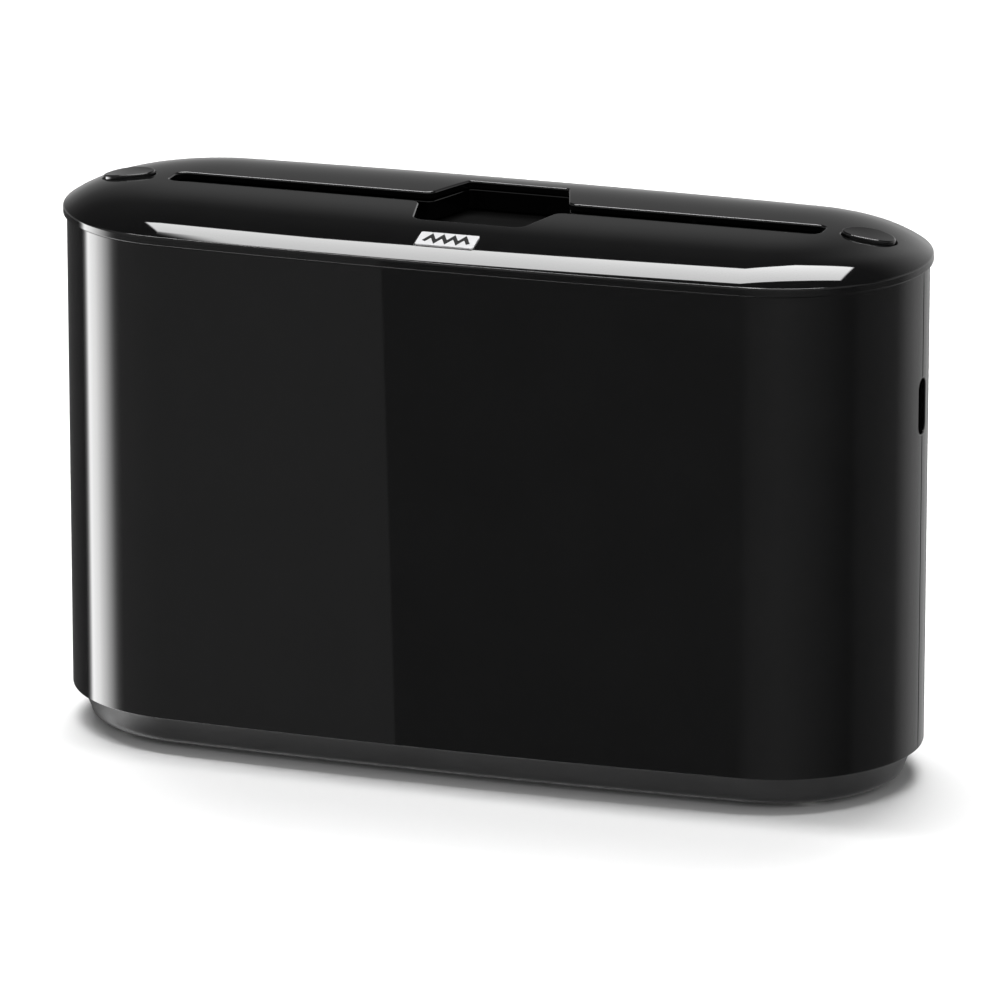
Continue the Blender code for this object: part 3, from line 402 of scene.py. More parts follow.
def finish_material(name, colour, roughness, metallic=0.0, grain=900.0, depth=0.01 * MM,
                    spread=0.06, tint=0.15, stretch=(1, 1, 1), specular=0.5):
    """A moulded or metal finish: mottled colour, uneven gloss and a fine surface grain."""
    made = bpy.data.materials.new(name)
    made.use_nodes = True
    tree = made.node_tree
    shader = tree.nodes["Principled BSDF"]
    shader.inputs["Metallic"].default_value = metallic
    shader.inputs["Specular IOR Level"].default_value = specular
    place = tree.nodes.new("ShaderNodeTexCoord")
    mapping = node(tree, "ShaderNodeMapping", Scale=stretch)
    tree.links.new(place.outputs["Object"], mapping.inputs["Vector"])

    cloud = node(tree, "ShaderNodeTexNoise", Scale=45.0, Detail=4.0, Roughness=0.6)
    tree.links.new(mapping.outputs["Vector"], cloud.inputs["Vector"])
    shade = tree.nodes.new("ShaderNodeValToRGB")
    shade.color_ramp.elements[0].position = 0.3
    shade.color_ramp.elements[1].position = 0.7
    for element, change in zip(shade.color_ramp.elements, (1 - tint, 1 + tint)):
        element.color = (*[min(channel * change, 1) for channel in colour], 1)
    tree.links.new(cloud.outputs["Fac"], shade.inputs["Fac"])
    tree.links.new(shade.outputs["Color"], shader.inputs["Base Color"])

    smear = node(tree, "ShaderNodeTexNoise", Scale=160.0, Detail=6.0, Roughness=0.7)
    tree.links.new(mapping.outputs["Vector"], smear.inputs["Vector"])
    gloss = tree.nodes.new("ShaderNodeMapRange")
    gloss.inputs["To Min"].default_value = max(roughness - spread, 0.005)
    gloss.inputs["To Max"].default_value = roughness + spread
    tree.links.new(smear.outputs["Fac"], gloss.inputs["Value"])
    tree.links.new(gloss.outputs["Result"], shader.inputs["Roughness"])

    fine = node(tree, "ShaderNodeTexNoise", Scale=grain, Detail=3.0, Roughness=0.55)
    tree.links.new(mapping.outputs["Vector"], fine.inputs["Vector"])
    bump = node(tree, "ShaderNodeBump", Strength=1.0, Distance=depth)
    tree.links.new(fine.outputs["Fac"], bump.inputs["Height"])
    tree.links.new(bump.outputs["Normal"], shader.inputs["Normal"])
    return made


SHELL_BLACK = finish_material("gloss black shell", (0.003, 0.003, 0.0031), 0.015, grain=2400,
                              depth=0.00003 * MM, spread=0.008)
LID_BLACK = finish_material("gloss black lid", (0.003, 0.003, 0.0031), 0.03, grain=2400,
                            depth=0.00005 * MM, spread=0.012)
BUTTON_BLACK = finish_material("gloss black button", (0.003, 0.003, 0.0031), 0.05, grain=2400,
                               depth=0.00005 * MM, spread=0.015)
BASE_GREY = finish_material("satin charcoal base", (0.035, 0.035, 0.0355), 0.5, grain=1800,
                            depth=0.02 * MM, spread=0.06)
GUIDE_BLACK = finish_material("gloss black guide", (0.0015, 0.0015, 0.0015), 0.05, grain=1500,
                              depth=0.0002 * MM, spread=0.02)
CHEEK_GREY = finish_material("matte grey cheek", (0.09, 0.09, 0.095), 0.5, grain=1500,
                             depth=0.03 * MM)
# Painted shade: the platform is coloured near black with almost no specular, so the recess below
# the opening stays as dark as shade would make it
PLATFORM_PAINTED_SHADE = finish_material("matte dark platform", (0.0012, 0.0012, 0.0012), 0.7,
                                grain=1500, depth=0.02 * MM, specular=0.04)
NYLON = finish_material("natural nylon", (0.62, 0.59, 0.52), 0.42, grain=1200, depth=0.02 * MM,
                        tint=0.05)
ROD_STEEL = finish_material("polished steel rod", (0.62, 0.62, 0.63), 0.16, 1.0, grain=2500,
                            depth=0.002 * MM, tint=0.04, stretch=(1, 1, 0.03))
SPRING_STEEL = finish_material("spring steel", (0.45, 0.45, 0.47), 0.26, 1.0, grain=2500,
                               depth=0.004 * MM, tint=0.08)
SCREW_STEEL = finish_material("zinc screw steel", (0.58, 0.58, 0.56), 0.3, 1.0, grain=3000,
                              depth=0.006 * MM, tint=0.1)
FOOT_RUBBER = finish_material("black rubber foot", (0.015, 0.015, 0.015), 0.8, grain=2200,
                              depth=0.05 * MM)
BADGE_PALE = finish_material("pale lacquered badge", (0.52, 0.52, 0.53), 0.3, grain=2500,
                             depth=0.001 * MM, tint=0.03)
BADGE_INK = finish_material("dark badge relief", (0.004, 0.004, 0.004), 0.5, grain=2500,
                            depth=0.001 * MM, specular=0.1)


# ---------------------------------------------------------------- lid
SKIRT_INSET = SHELL_INNER + 0.4 * MM
SKIRT_WALL = 1.6 * MM
SKIRT_DEPTH = 4.5 * MM
BUTTON_LENGTH, BUTTON_WIDTH = 19.4 * MM, 14.0 * MM
BUTTON_CLEARANCE = 0.4 * MM
BADGE_LENGTH, BADGE_WIDTH = 21.8 * MM, 8.6 * MM
BADGE_THICKNESS, BADGE_PROUD = 1.0 * MM, 0.3 * MM
BADGE_Y = -(HALF_DEPTH - 11.9 * MM)
SEAT_TOP = TOP - 11.7 * MM
SEAT_UNDER = SEAT_TOP - 1.5 * MM
CAGE_Y = BUTTON_WIDTH / 2 + 2.1 * MM
CAGE_WALL = 1.8 * MM
HUB_RADIUS = 3.6 * MM
LATCH_HALF = LATCH_HIGH.y
CAGE_REACH = 8.5 * MM                       # half the length of a button's cage
SCREW_HOLE = 1.9 * MM
POST_RADIUS = 4.5 * MM
PIN_HOLE = 1.6 * MM
# Rows of points on the dome's slope, in mm from the edge; past them lies an even grid
DOME_ROWS = (1.2, 2.0, 2.9, 3.8, 4.8, 5.8, 6.8, 7.8, 8.9, 10.0, 11.2, 12.5, 14, 15.5, 17,
             18.7, 20.5, 22.5, 24.5, 27, 29.5)
DOME_GRID_INSET = 31.0 * MM


def badge_loop(grow=0.0, radius=0.8 * MM):
    half_x, half_y = BADGE_LENGTH / 2 + grow, BADGE_WIDTH / 2 + grow
    x = BADGE_CENTRE.x
    return box_loop(x - half_x, x + half_x, BADGE_Y - half_y, BADGE_Y + half_y, radius, 5)


def lid_rim(skin):
    """The rim from the dome's edge round its bottom to the inner face of the wall."""
    crease, lip = 0.45 * MM, 0.35 * MM
    rings = skin.rounding(OVAL, dome(), crease, 5)
    under = skin.rounding(OVAL, flat(LIP, -1), lip, 4, -1)
    inner = OVAL.moved(-WALL).hole()
    back = skin.rounding(inner, flat(LIP, -1), lip, 3, -1)
    top = skin.ring(inner, 0, dome(WALL, WALL, -1), 0, 0)
    chain = rings + under[::-1] + back + [top]
    skin.chain(chain)
    return rings[0], top


def dome_points(keep_clear):
    """Plan points over the lid, dense on its slope, clear of the given loops."""
    points = [OVAL.moved(-inset * MM).points for inset in DOME_ROWS]
    spread = np.arange(-160, 161, 4.0) * MM
    grid = np.array([(x, y) for x in spread for y in spread if abs(y) < HALF_DEPTH])
    points.append(grid[inset_of(grid)[0] > DOME_GRID_INSET])
    points = np.concatenate(points)
    for loop in keep_clear:
        points = points[~inside(points, [loop.points])]
    return points


def make_lid():
    skin = Skin()
    outer, inner = lid_rim(skin)
    tops, bottoms = [outer], [inner]
    clear = []
    holes = [opening()] + [ellipse(side * BUTTON_X, BUTTON_LENGTH / 2 + BUTTON_CLEARANCE,
                                 BUTTON_WIDTH / 2 + BUTTON_CLEARANCE) for _, side in SIDES]
    for hole, edge in zip(holes, (0.8 * MM, 0.5 * MM, 0.5 * MM)):
        rings = skin.rounding(hole.hole(), dome(), edge, 5)
        foot = skin.ring(hole.hole(), 0, dome(WALL, WALL, -1), 0, 0)
        skin.chain(rings + [foot])
        tops.append(rings[0])
        bottoms.append(foot)
        clear.append(hole.moved(edge + 0.6 * MM))
    pocket = badge_loop(0.2 * MM, 0.9 * MM)
    rings = skin.rounding(pocket.hole(), dome(), 0.2 * MM, 3)
    floor_edge = skin.ring(pocket.hole(), 0, dome(BADGE_THICKNESS), 0, 90)
    skin.chain(rings + [floor_edge])
    skin.fill([floor_edge])
    tops.append(rings[0])
    clear.append(pocket.moved(0.5 * MM))
    skin.fill(tops, dome(), dome_points(clear))
    under_points = dome_points([hole.moved(0.6 * MM) for hole in holes])[::2]
    skin.fill(bottoms, dome(WALL, WALL, -1), under_points)

    roof = dome(WALL / 2, WALL / 2)
    outer_skirt, inner_skirt = OVAL.moved(-SKIRT_INSET), OVAL.moved(-SKIRT_INSET - SKIRT_WALL)
    foot = flat(LIP - SKIRT_DEPTH, -1)
    outside = skin.rounding(outer_skirt, foot, EDGE, 3, -1)
    inwards = skin.rounding(inner_skirt.hole(), foot, EDGE, 3, -1)
    outside.append(skin.ring(outer_skirt, 0, roof, 0, 0))
    inwards.append(skin.ring(inner_skirt.hole(), 0, roof, 0, 0))
    skin.chain(outside[::-1] + inwards)
    skin.band(inwards[-1], outside[-1])

    for _, side in SIDES:
        for _, half in HALVES:
            low_y, high_y = span(half, CAGE_Y, CAGE_Y + CAGE_WALL)
            web_x = span(side, BUTTON_X - CAGE_REACH, BUTTON_X + CAGE_REACH)
            web = box_loop(web_x[0], web_x[1], low_y, high_y, FINE_EDGE)
            sole = skin.rounding(web, flat(SEAT_UNDER, -1), FINE_EDGE, 3, -1)
            crown = skin.ring(web, 0, roof, 0, 0)
            skin.chain(sole + [crown])
            skin.fill([sole[0]])
            skin.fill([crown])
            fork_y = LATCH_HALF + 0.4 * MM
            low_y, high_y = span(half, fork_y, fork_y + 2 * MM)
            fork = rounded([(side * PIVOT_X - HUB_RADIUS, PIVOT_Z - HUB_RADIUS, 3.4 * MM),
                            (side * PIVOT_X + HUB_RADIUS, PIVOT_Z - HUB_RADIUS, 3.4 * MM),
                            (side * PIVOT_X + HUB_RADIUS, SEAT_TOP - GAP, FINE_EDGE),
                            (side * PIVOT_X - HUB_RADIUS, SEAT_TOP - GAP, FINE_EDGE)])
            skin.place = facing("Y")
            plate(skin, fork, low_y, high_y, FINE_EDGE,
                  [circle(side * PIVOT_X, PIVOT_Z, PIN_HOLE, 24)])
            skin.place = Matrix.Identity(4)
            screw_x, screw_y = guide_screw_place(side, half)
            boss = circle(screw_x, screw_y, 3.4 * MM)
            bore = circle(screw_x, screw_y, SCREW_HOLE)
            plate(skin, boss, FLANGE_TOP + GAP, TOP - WALL / 2, FINE_EDGE, [bore])
        seat_x = span(side, BUTTON_X - CAGE_REACH, PIVOT_X + HUB_RADIUS)
        seat = box_loop(seat_x[0], seat_x[1], -CAGE_Y - CAGE_WALL, CAGE_Y + CAGE_WALL, 0.5 * MM)
        plate(skin, seat, SEAT_UNDER, SEAT_TOP, FINE_EDGE, [circle(side * BUTTON_X, 0, 2.8 * MM)])
    build("lid_dome", skin, LID_BLACK, "lid", "lid_plastic", "lid")


# ---------------------------------------------------------------- guide under the opening
GUIDE_WALL = 1.8 * MM
FLANGE_UNDER = GUIDE_LOW.z + 2.4 * MM
FLANGE_TOP = FLANGE_UNDER + 1.8 * MM
GUIDE_SCREW_X = SLOT_END - 51.0 * MM
GUIDE_SCREW_Y = SLOT_HALF + GAP + GUIDE_WALL + 3.7 * MM


def guide_screw_place(side, half):
    return side * GUIDE_SCREW_X, half * GUIDE_SCREW_Y


def make_guide():
    skin = Skin()
    inner = opening(GAP)
    outer = opening(GAP + GUIDE_WALL)
    plate(skin, outer, GUIDE_LOW.z, GUIDE_HIGH.z, 0.5 * MM, [inner], 4)
    plate(skin, opening(GAP + GUIDE_WALL + 3 * MM), FLANGE_UNDER, FLANGE_TOP, EDGE,
          [opening(GAP + GUIDE_WALL / 2)])
    for _, side in SIDES:
        for _, half in HALVES:
            x, y = guide_screw_place(side, half)
            plate(skin, circle(x, y, POST_RADIUS), FLANGE_UNDER, FLANGE_TOP, EDGE,
                  [circle(x, y, SCREW_HOLE)])
    build("guide_frame", skin, GUIDE_BLACK, "lid", "guide_plastic", "napkin_guide")


# ---------------------------------------------------------------- badge
def badge_place():
    step = 0.5 * MM
    setback = HALF_DEPTH + BADGE_Y
    slope = (dome_height(setback + step) - dome_height(setback - step)) / (2 * step)
    centre = (BADGE_CENTRE.x, BADGE_Y, dome_height(setback))
    return Matrix.Translation(centre) @ Matrix.Rotation(math.atan(slope), 4, "X")


def make_badge():
    skin = Skin()
    skin.place = badge_place()
    outline = box_loop(-BADGE_LENGTH / 2, BADGE_LENGTH / 2, -BADGE_WIDTH / 2, BADGE_WIDTH / 2,
                       0.8 * MM, 6)
    plate(skin, outline, BADGE_PROUD - BADGE_THICKNESS, BADGE_PROUD, 0.18 * MM)
    build("badge_plate", skin, BADGE_PALE, "lid", "badge_plastic", "badge")

    fold = Skin()
    fold.place = badge_place()
    count, stroke = 8, 0.72 * MM
    half_x, half_y = BADGE_LENGTH / 2 - 2.6 * MM, 1.9 * MM
    line = [Vector((-half_x + 2 * half_x * k / count, half_y * (1 if k % 2 else -1)))
            for k in range(count + 1)]
    upper, lower = [], []
    for index, point in enumerate(line):
        before = (point - line[index - 1]).normalized() if index else None
        after = (line[index + 1] - point).normalized() if index < count else before
        before = before or after
        way = (before + after).normalized()
        reach = stroke / abs(way.dot(after))
        across = Vector((-way.y, way.x)) * reach
        upper.append(point + across)
        lower.append(point - across)
    corners = [(p.x, p.y, 0.08 * MM) for p in lower + upper[::-1]]
    plate(fold, rounded(corners, 3), BADGE_PROUD - 0.2 * MM, BADGE_PROUD + 0.12 * MM, 0.06 * MM)
    build("badge_fold_mark", fold, BADGE_INK, "lid", "badge_plastic")


# ---------------------------------------------------------------- buttons
BUTTON_PROUD = 1.3 * MM
BUTTON_DISH = 0.15 * MM
BUTTON_TRAVEL = 2.5 * MM
STEM_RADIUS = 2.4 * MM
BUTTON_ROOF = 1.8 * MM
POCKET_RADIUS = 4.6 * MM


def make_button(label, side):
    skin = Skin()
    face = dome(-BUTTON_PROUD)
    body = ellipse(side * BUTTON_X, BUTTON_LENGTH / 2, BUTTON_WIDTH / 2)
    flange_z = SEAT_TOP + BUTTON_TRAVEL + GAP
    flange = ellipse(side * BUTTON_X, BUTTON_LENGTH / 2 + 1.3 * MM, BUTTON_WIDTH / 2 + 1.3 * MM)
    pocket = circle(side * BUTTON_X, 0, POCKET_RADIUS, 96).hole()
    middle = face(np.array([[side * BUTTON_X, 0.0]]))[0][0]
    ceiling = middle - BUTTON_DISH - BUTTON_ROOF

    rings = []
    for share in (0.06, 0.2, 0.35, 0.5, 0.62, 0.74, 0.84, 0.9):
        dish = BUTTON_DISH * (1 - (share / 0.94) ** 2)
        ring = ellipse(side * BUTTON_X, BUTTON_LENGTH / 2 * share, BUTTON_WIDTH / 2 * share)
        tilt = math.atan(2 * BUTTON_DISH * share / (BUTTON_WIDTH / 2))
        rings.append(skin.ring(ring.hole(), 0, face, dish, 90 - math.degrees(tilt)))
    rings += skin.rounding(body, face, 0.6 * MM, 6)
    rings.append(skin.ring(body, 0, flat(flange_z + 1.5 * MM), 0, 0))
    rings += skin.rounding(flange, flat(flange_z + 1.5 * MM), 0.25 * MM, 3)
    under = skin.rounding(flange, flat(flange_z, -1), 0.25 * MM, 3, -1)
    rings += under[::-1]
    skin.chain(rings)
    centre = (side * BUTTON_X, 0, middle - BUTTON_DISH)
    skin.close(rings[0], centre, face(np.array([[side * BUTTON_X, 0.0]]))[1][0])
    mouth = skin.ring(pocket, 0, flat(flange_z, -1), 0, 0)
    roof = skin.ring(pocket, 0, flat(ceiling, -1), 0, 45)
    skin.fill([under[0], mouth])
    skin.band(mouth, roof)
    stem = circle(side * BUTTON_X, 0, STEM_RADIUS)
    tip = LATCH_HIGH.z + GAP
    column = [skin.ring(stem, 0, flat(ceiling), 0, 0)]
    for step in range(1, 6):
        lean = 90 * step / 5 * 0.9
        angle = math.radians(lean)
        column.append(skin.ring(stem, -STEM_RADIUS * (1 - math.cos(angle)),
                                flat(tip + STEM_RADIUS * (1 - math.sin(angle)), -1), 0, lean))
    skin.fill([roof, column[0]])
    skin.chain(column)
    skin.close(column[-1], (side * BUTTON_X, 0, tip), (0, 0, -1))
    build(f"{label}_push_button", skin, BUTTON_BLACK, f"{label}_button", "button_plastic",
          f"{label}_button")


# ---------------------------------------------------------------- front and rear shells
WINDOW_Z = LIP - 49.8 * MM
WINDOW_RISE = 10.6 * MM
WINDOW_RADIUS = 4.0 * MM
SEAM_HALF = 0.15 * MM


def half_outline(end_steps, side_steps):
    """The front half of the oval, from the left seam to the right one: points, normals."""
    end, end_normals = arc((END_CENTRE, 0), END_RADIUS, -MEET, 0, end_steps)
    side, side_normals = arc((0, SIDE_CENTRE), SIDE_RADIUS, MEET - math.pi, -MEET, side_steps)
    left = end[::-1] * (-1, 1)
    left_normals = end_normals[::-1] * (-1, 1)
    points = np.concatenate([left, side[1:-1], end])
    normals = np.concatenate([left_normals, side_normals[1:-1], end_normals])
    return points, normals


def seam_setback(z):
    """How far the seam edge stands back from the seam, at a height: the window's shape."""
    away = abs(z - WINDOW_Z)
    straight = WINDOW_RISE - WINDOW_RADIUS
    if away >= WINDOW_RISE - 1e-9:
        return 0.0
    if away <= straight:
        return WINDOW_RADIUS
    return math.sqrt(max(WINDOW_RADIUS ** 2 - (away - straight) ** 2, 0))


def shell_grid(low, high):
    """Heights of the shell's rows, denser round the window."""
    straight = WINDOW_RISE - WINDOW_RADIUS
    rows = list(np.linspace(low, WINDOW_Z - WINDOW_RISE - 3 * MM, 22))
    turns = np.linspace(math.pi / 2, 0, 11)
    rows.append(WINDOW_Z - WINDOW_RISE - 0.8 * MM)
    rows += [WINDOW_Z - straight - WINDOW_RADIUS * math.sin(t) for t in turns]
    rows += list(np.linspace(WINDOW_Z - straight, WINDOW_Z + straight, 6)[1:-1])
    rows += [WINDOW_Z + straight + WINDOW_RADIUS * math.sin(t) for t in turns[::-1]]
    rows.append(WINDOW_Z + WINDOW_RISE + 0.8 * MM)
    rows += list(np.linspace(WINDOW_Z + WINDOW_RISE + 3 * MM, high, 8))
    return rows


def make_shell(label, half):
    skin = Skin()
    edge = 0.35 * MM
    points, normals = half_outline(48, 48)
    points, normals = points * (1, -half), normals * (1, -half)
    rows = shell_grid(SHELL_LOW.z + edge, SHELL_HIGH.z - edge)
    end_zone = 9.0 * MM
    end_arc = END_RADIUS - SHELL_INSET

    fixed = [i for i, p in enumerate(points)
             if abs(p[0]) < END_CENTRE or abs(math.asin(min(abs(normals[i][1]), 1))) * end_arc
             > end_zone]
    near = [0.0, 0.12, 0.3, 0.6, 1.0]       # columns from the seam edge inwards, as shares

    def spot(side, back):
        """Normal of a place on an end arc, back along it from the seam."""
        angle = back / end_arc
        return np.array([side * math.cos(angle), half * math.sin(angle)])

    def column_spots(z, trim):
        """(plan point on the lid's outline, normal) of each column in a row."""
        found = []
        base = SEAM_HALF + seam_setback(z) + trim
        left = [base + (end_zone - base) * share for share in near]
        for back in left[:-1]:
            normal = spot(-1, back)
            found.append((np.array([-END_CENTRE, 0]) + normal * END_RADIUS, normal))
        for i in fixed:
            found.append((points[i], normals[i]))
        for back in left[:-1][::-1]:
            normal = spot(1, back)
            found.append((np.array([END_CENTRE, 0]) + normal * END_RADIUS, normal))
        return found

    def face(inset, way, trim):
        """A grid of points over the shell at one inset; trim pulls its seam edges back."""
        grid = []
        for z in rows:
            spots = column_spots(z, trim)
            place = [(*(p - n * inset), z) for p, n in spots]
            lean = [(*(n * way), 0) for _, n in spots]
            grid.append(skin.add(place, lean))
        for lower, upper in zip(grid, grid[1:]):
            skin.band(lower, upper, False)
        return grid

    outer = face(SHELL_INSET, 1, edge)
    inner = face(SHELL_INNER, -1, edge)

    def border(grid):
        bottom, top = grid[0], grid[-1]
        right = [row[-1] for row in grid[1:-1]]
        left = [row[0] for row in grid[1:-1]]
        return bottom + right + top[::-1] + left[::-1]

    steps = 3
    heights = len(rows)

    def border_ring(depth, trim, lean, way):
        """A ring round the shell's border: trim in from it, at a depth in the wall."""
        placed, leans = [], []
        inset = SHELL_INSET + depth
        drop = edge - trim                  # how far past the face's own border it lies
        angle = math.radians(lean)

        def put(p, n, z, side_way):
            out = np.array([n[0] * way * math.sin(angle), n[1] * way * math.sin(angle), 0])
            placed.append((*(p - n * inset), z))
            leans.append(out + np.array(side_way) * math.cos(angle))

        for sign, z in ((-1, rows[0]), (1, rows[-1])):
            row = [(p, n, z + sign * drop, (0, 0, sign))
                   for p, n in column_spots(z, trim)[::-sign]]
            if sign < 0:
                bottom = row
            else:
                top = row
        right, left = [], []
        for index in range(1, heights - 1):
            z = rows[index]
            setback = seam_setback(z)
            away = z - WINDOW_Z
            straight = WINDOW_RISE - WINDOW_RADIUS
            tilt = 0.0
            if abs(away) > straight and abs(away) < WINDOW_RISE + 1e-9:
                tilt = math.asin(min((abs(away) - straight) / WINDOW_RADIUS, 1))
            tilt *= -1 if away > 0 else 1
            for side, store in ((1, right), (-1, left)):
                back = SEAM_HALF + setback + trim * math.cos(tilt)
                normal = spot(side, back)
                tangent = np.array([side * math.sin(back / end_arc),
                                    -half * math.cos(back / end_arc)])
                lift = -math.sin(tilt) * drop
                store.append((np.array([side * END_CENTRE, 0]) + normal * END_RADIUS, normal,
                              z - lift, (tangent[0] * math.cos(tilt),
                                         tangent[1] * math.cos(tilt), math.sin(tilt))))
        for item in bottom + right + top + left[::-1]:
            put(*item)
        return skin.add(placed, leans)

    chain = [border(outer)]
    for step in range(1, steps + 1):
        lean = 90 * (1 - step / steps)
        angle = math.radians(lean)
        chain.append(border_ring(edge * (1 - math.sin(angle)),
                                 edge * (1 - math.cos(angle)), lean, 1))
    for step in range(steps):
        lean = 90 * step / steps
        angle = math.radians(lean)
        chain.append(border_ring(WALL - edge * (1 - math.sin(angle)),
                                 edge * (1 - math.cos(angle)), lean, -1))
    chain.append(border(inner))
    skin.chain(chain)
    add_shell_fittings(skin, half)
    build(f"{label}_housing_shell", skin, SHELL_BLACK, "housing", "shell_plastic",
                 f"{label}_shell")


CHEEK_INNER, CHEEK_OUTER = CHEEK_LOW.x, CHEEK_LOW.x + 2 * MM
RIB = 1.5 * MM
CURB_TOP = BASE_HIGH.z
FIXING_TOP = CHEEK_HIGH.z
SEAM_SCREW_X = HALF_WIDTH - SHELL_INNER - 4.0 * MM
POST_HEIGHT = 24 * MM


def seam_spans():
    low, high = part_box("seam_screw_lower_right")
    lower = (low.z + high.z) / 2
    low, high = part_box("seam_screw_upper_right")
    upper = (low.z + high.z) / 2
    margin = WINDOW_RISE + 2.5 * MM
    below = (CURB_TOP + GAP, WINDOW_Z - margin)
    above_low = WINDOW_Z + margin
    return (below, lower), ((above_low, 2 * upper - above_low), upper)


def base_screw_place(half_label, side_label):
    low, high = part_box(f"base_screw_{half_label}_{side_label}")
    return (low.x + high.x) / 2, (low.y + high.y) / 2


def half_depth_at(x, inset):
    along = abs(x)
    if along > END_CENTRE:
        return math.sqrt((END_RADIUS - inset) ** 2 - (along - END_CENTRE) ** 2)
    return math.sqrt((SIDE_RADIUS - inset) ** 2 - along ** 2) - SIDE_CENTRE


def add_shell_fittings(skin, half):
    """Inside a shell: flanges at the seams, ribs that hold the cheeks, and screw posts."""
    half_label = "front" if half < 0 else "rear"
    for side_label, side in SIDES:
        near, far = span(half, SEAM_HALF, SEAM_HALF + 2.5 * MM)
        for (low, high), screw_z in seam_spans():
            skin.place = facing("Y")
            x = sorted((side * (HALF_WIDTH - SHELL_INNER - 7.8 * MM),
                        side * (HALF_WIDTH - SHELL_INNER + WALL / 2)))
            plate(skin, box_loop(x[0], x[1], low, high, 0.6 * MM), near, far, FINE_EDGE,
                  [circle(side * SEAM_SCREW_X, screw_z, SCREW_HOLE, 24)])
            skin.place = Matrix.Identity(4)
        for inner_x in (CHEEK_INNER - GAP - RIB, CHEEK_OUTER + GAP):
            wall_y = half_depth_at(inner_x + RIB, SHELL_INNER)
            low_y, high_y = span(half, wall_y - 7 * MM, wall_y + WALL / 2)
            side_block(skin, side, inner_x, inner_x + RIB, low_y, high_y,
                       CURB_TOP + GAP, FIXING_TOP, FINE_EDGE)
        x, y = base_screw_place(half_label, side_label)
        low, high = CURB_TOP + GAP, CURB_TOP + GAP + POST_HEIGHT
        plate(skin, circle(x, y, POST_RADIUS), low, high, EDGE, [circle(x, y, SCREW_HOLE)])
        away = Vector((x - side * END_CENTRE, y))
        angle = math.atan2(away.y, away.x)
        skin.place = (Matrix.Translation((side * END_CENTRE, 0, 0))
                      @ Matrix.Rotation(angle, 4, "Z"))
        block(skin, (away.length + 3 * MM, -1.6 * MM, low),
              (END_RADIUS - SHELL_INNER + WALL / 2, 1.6 * MM, high), FINE_EDGE)
        skin.place = Matrix.Identity(4)


# ---------------------------------------------------------------- base, feet and screws
def make_base():
    skin = Skin()
    taper, taper_height = 3.5 * MM, 8.2 * MM
    foot = OVAL.moved(-PLINTH_INSET - taper)
    top_wall = OVAL.moved(-PLINTH_INSET)
    inner = OVAL.moved(-PLINTH_INSET - 2.5 * MM)
    lean = math.degrees(math.atan2(taper, taper_height))
    rings = skin.rounding(foot, flat(BASE_LOW.z, -1), 3.0 * MM, 8, -1)
    waist = SHELL_LOW.z - GAP
    rings.append(skin.ring(top_wall, 0, flat(waist, -1), 0, lean))
    rings.append(skin.ring(top_wall, 0, flat(waist), 0, 0))
    rings += skin.rounding(top_wall, flat(CURB_TOP), EDGE, 3)[::-1]
    rings += skin.rounding(inner.hole(), flat(CURB_TOP), EDGE, 3)
    rings.append(skin.ring(inner.hole(), 0, flat(SHELL_LOW.z), 0, 0))
    floor_z = BASE_LOW.z + 3.0 * MM
    deep = OVAL.moved(-PLINTH_INSET - 6.0 * MM).hole()
    rings.append(skin.ring(deep, 0, flat(floor_z + 1.5 * MM), 0, 30))
    rings.append(skin.ring(deep, 1.5 * MM, flat(floor_z), 0, 80))
    skin.chain(rings)
    skin.fill([rings[-1]])
    sole = [rings[0]]
    for half_label, half in HALVES:
        for side_label, side in SIDES:
            x, y = base_screw_place(half_label, side_label)
            low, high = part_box(f"foot_{half_label}_{side_label}")
            for loop, depth in ((circle(x, y, 3.4 * MM), 2.4 * MM),
                                (circle((low.x + high.x) / 2, (low.y + high.y) / 2, 8.3 * MM),
                                 0.9 * MM)):
                sunk = skin.rounding(loop.hole(), flat(BASE_LOW.z, -1), 0.2 * MM, 2, -1)
                roof = skin.ring(loop.hole(), 0, flat(BASE_LOW.z + depth, -1), 0, 45)
                skin.chain(sunk + [roof])
                skin.fill([roof])
                sole.append(sunk[0])
            plate(skin, circle(x, y, POST_RADIUS), floor_z - GAP, CURB_TOP, EDGE,
                  [circle(x, y, SCREW_HOLE)])
    skin.fill(sole)
    for _, side in SIDES:
        plate(skin, circle(side * ROD_X, 0, 6.5 * MM), floor_z - GAP, floor_z + 4.5 * MM,
              0.5 * MM, [circle(side * ROD_X, 0, ROD_BORE)])
        for inner_x in (CHEEK_INNER - GAP - RIB, CHEEK_OUTER + GAP):
            side_block(skin, side, inner_x, inner_x + RIB, -CHEEK_FOOT, CHEEK_FOOT,
                       floor_z - GAP, floor_z + 6 * MM, FINE_EDGE)
    build("plinth_base", skin, BASE_GREY, "housing", "base_plastic", "base")


def make_feet():
    for half_label, _ in HALVES:
        for side_label, _ in SIDES:
            name = f"foot_{half_label}_{side_label}"
            low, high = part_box(name)
            skin = Skin()
            x, y = (low.x + high.x) / 2, (low.y + high.y) / 2
            pad = circle(x, y, (high.x - low.x) / 2, 64)
            rim = skin.rounding(pad, flat(high.z), FINE_EDGE, 3)
            sole = skin.rounding(pad, flat(low.z, -1), 0.6 * MM, 5, -1)
            cup = circle(x, y, 4.5 * MM, 64).hole()
            lip = skin.rounding(cup, flat(low.z, -1), FINE_EDGE, 3, -1)
            roof = skin.ring(cup, 0, flat(low.z + 0.8 * MM, -1), 0, 45)
            skin.chain(rim + sole[::-1])
            skin.chain(lip + [roof])
            skin.fill([rim[0]])
            skin.fill([sole[0], lip[0]])
            skin.fill([roof])
            build(f"pad_{half_label}_{side_label}", skin, FOOT_RUBBER, "housing", "foot_rubber",
                  name)


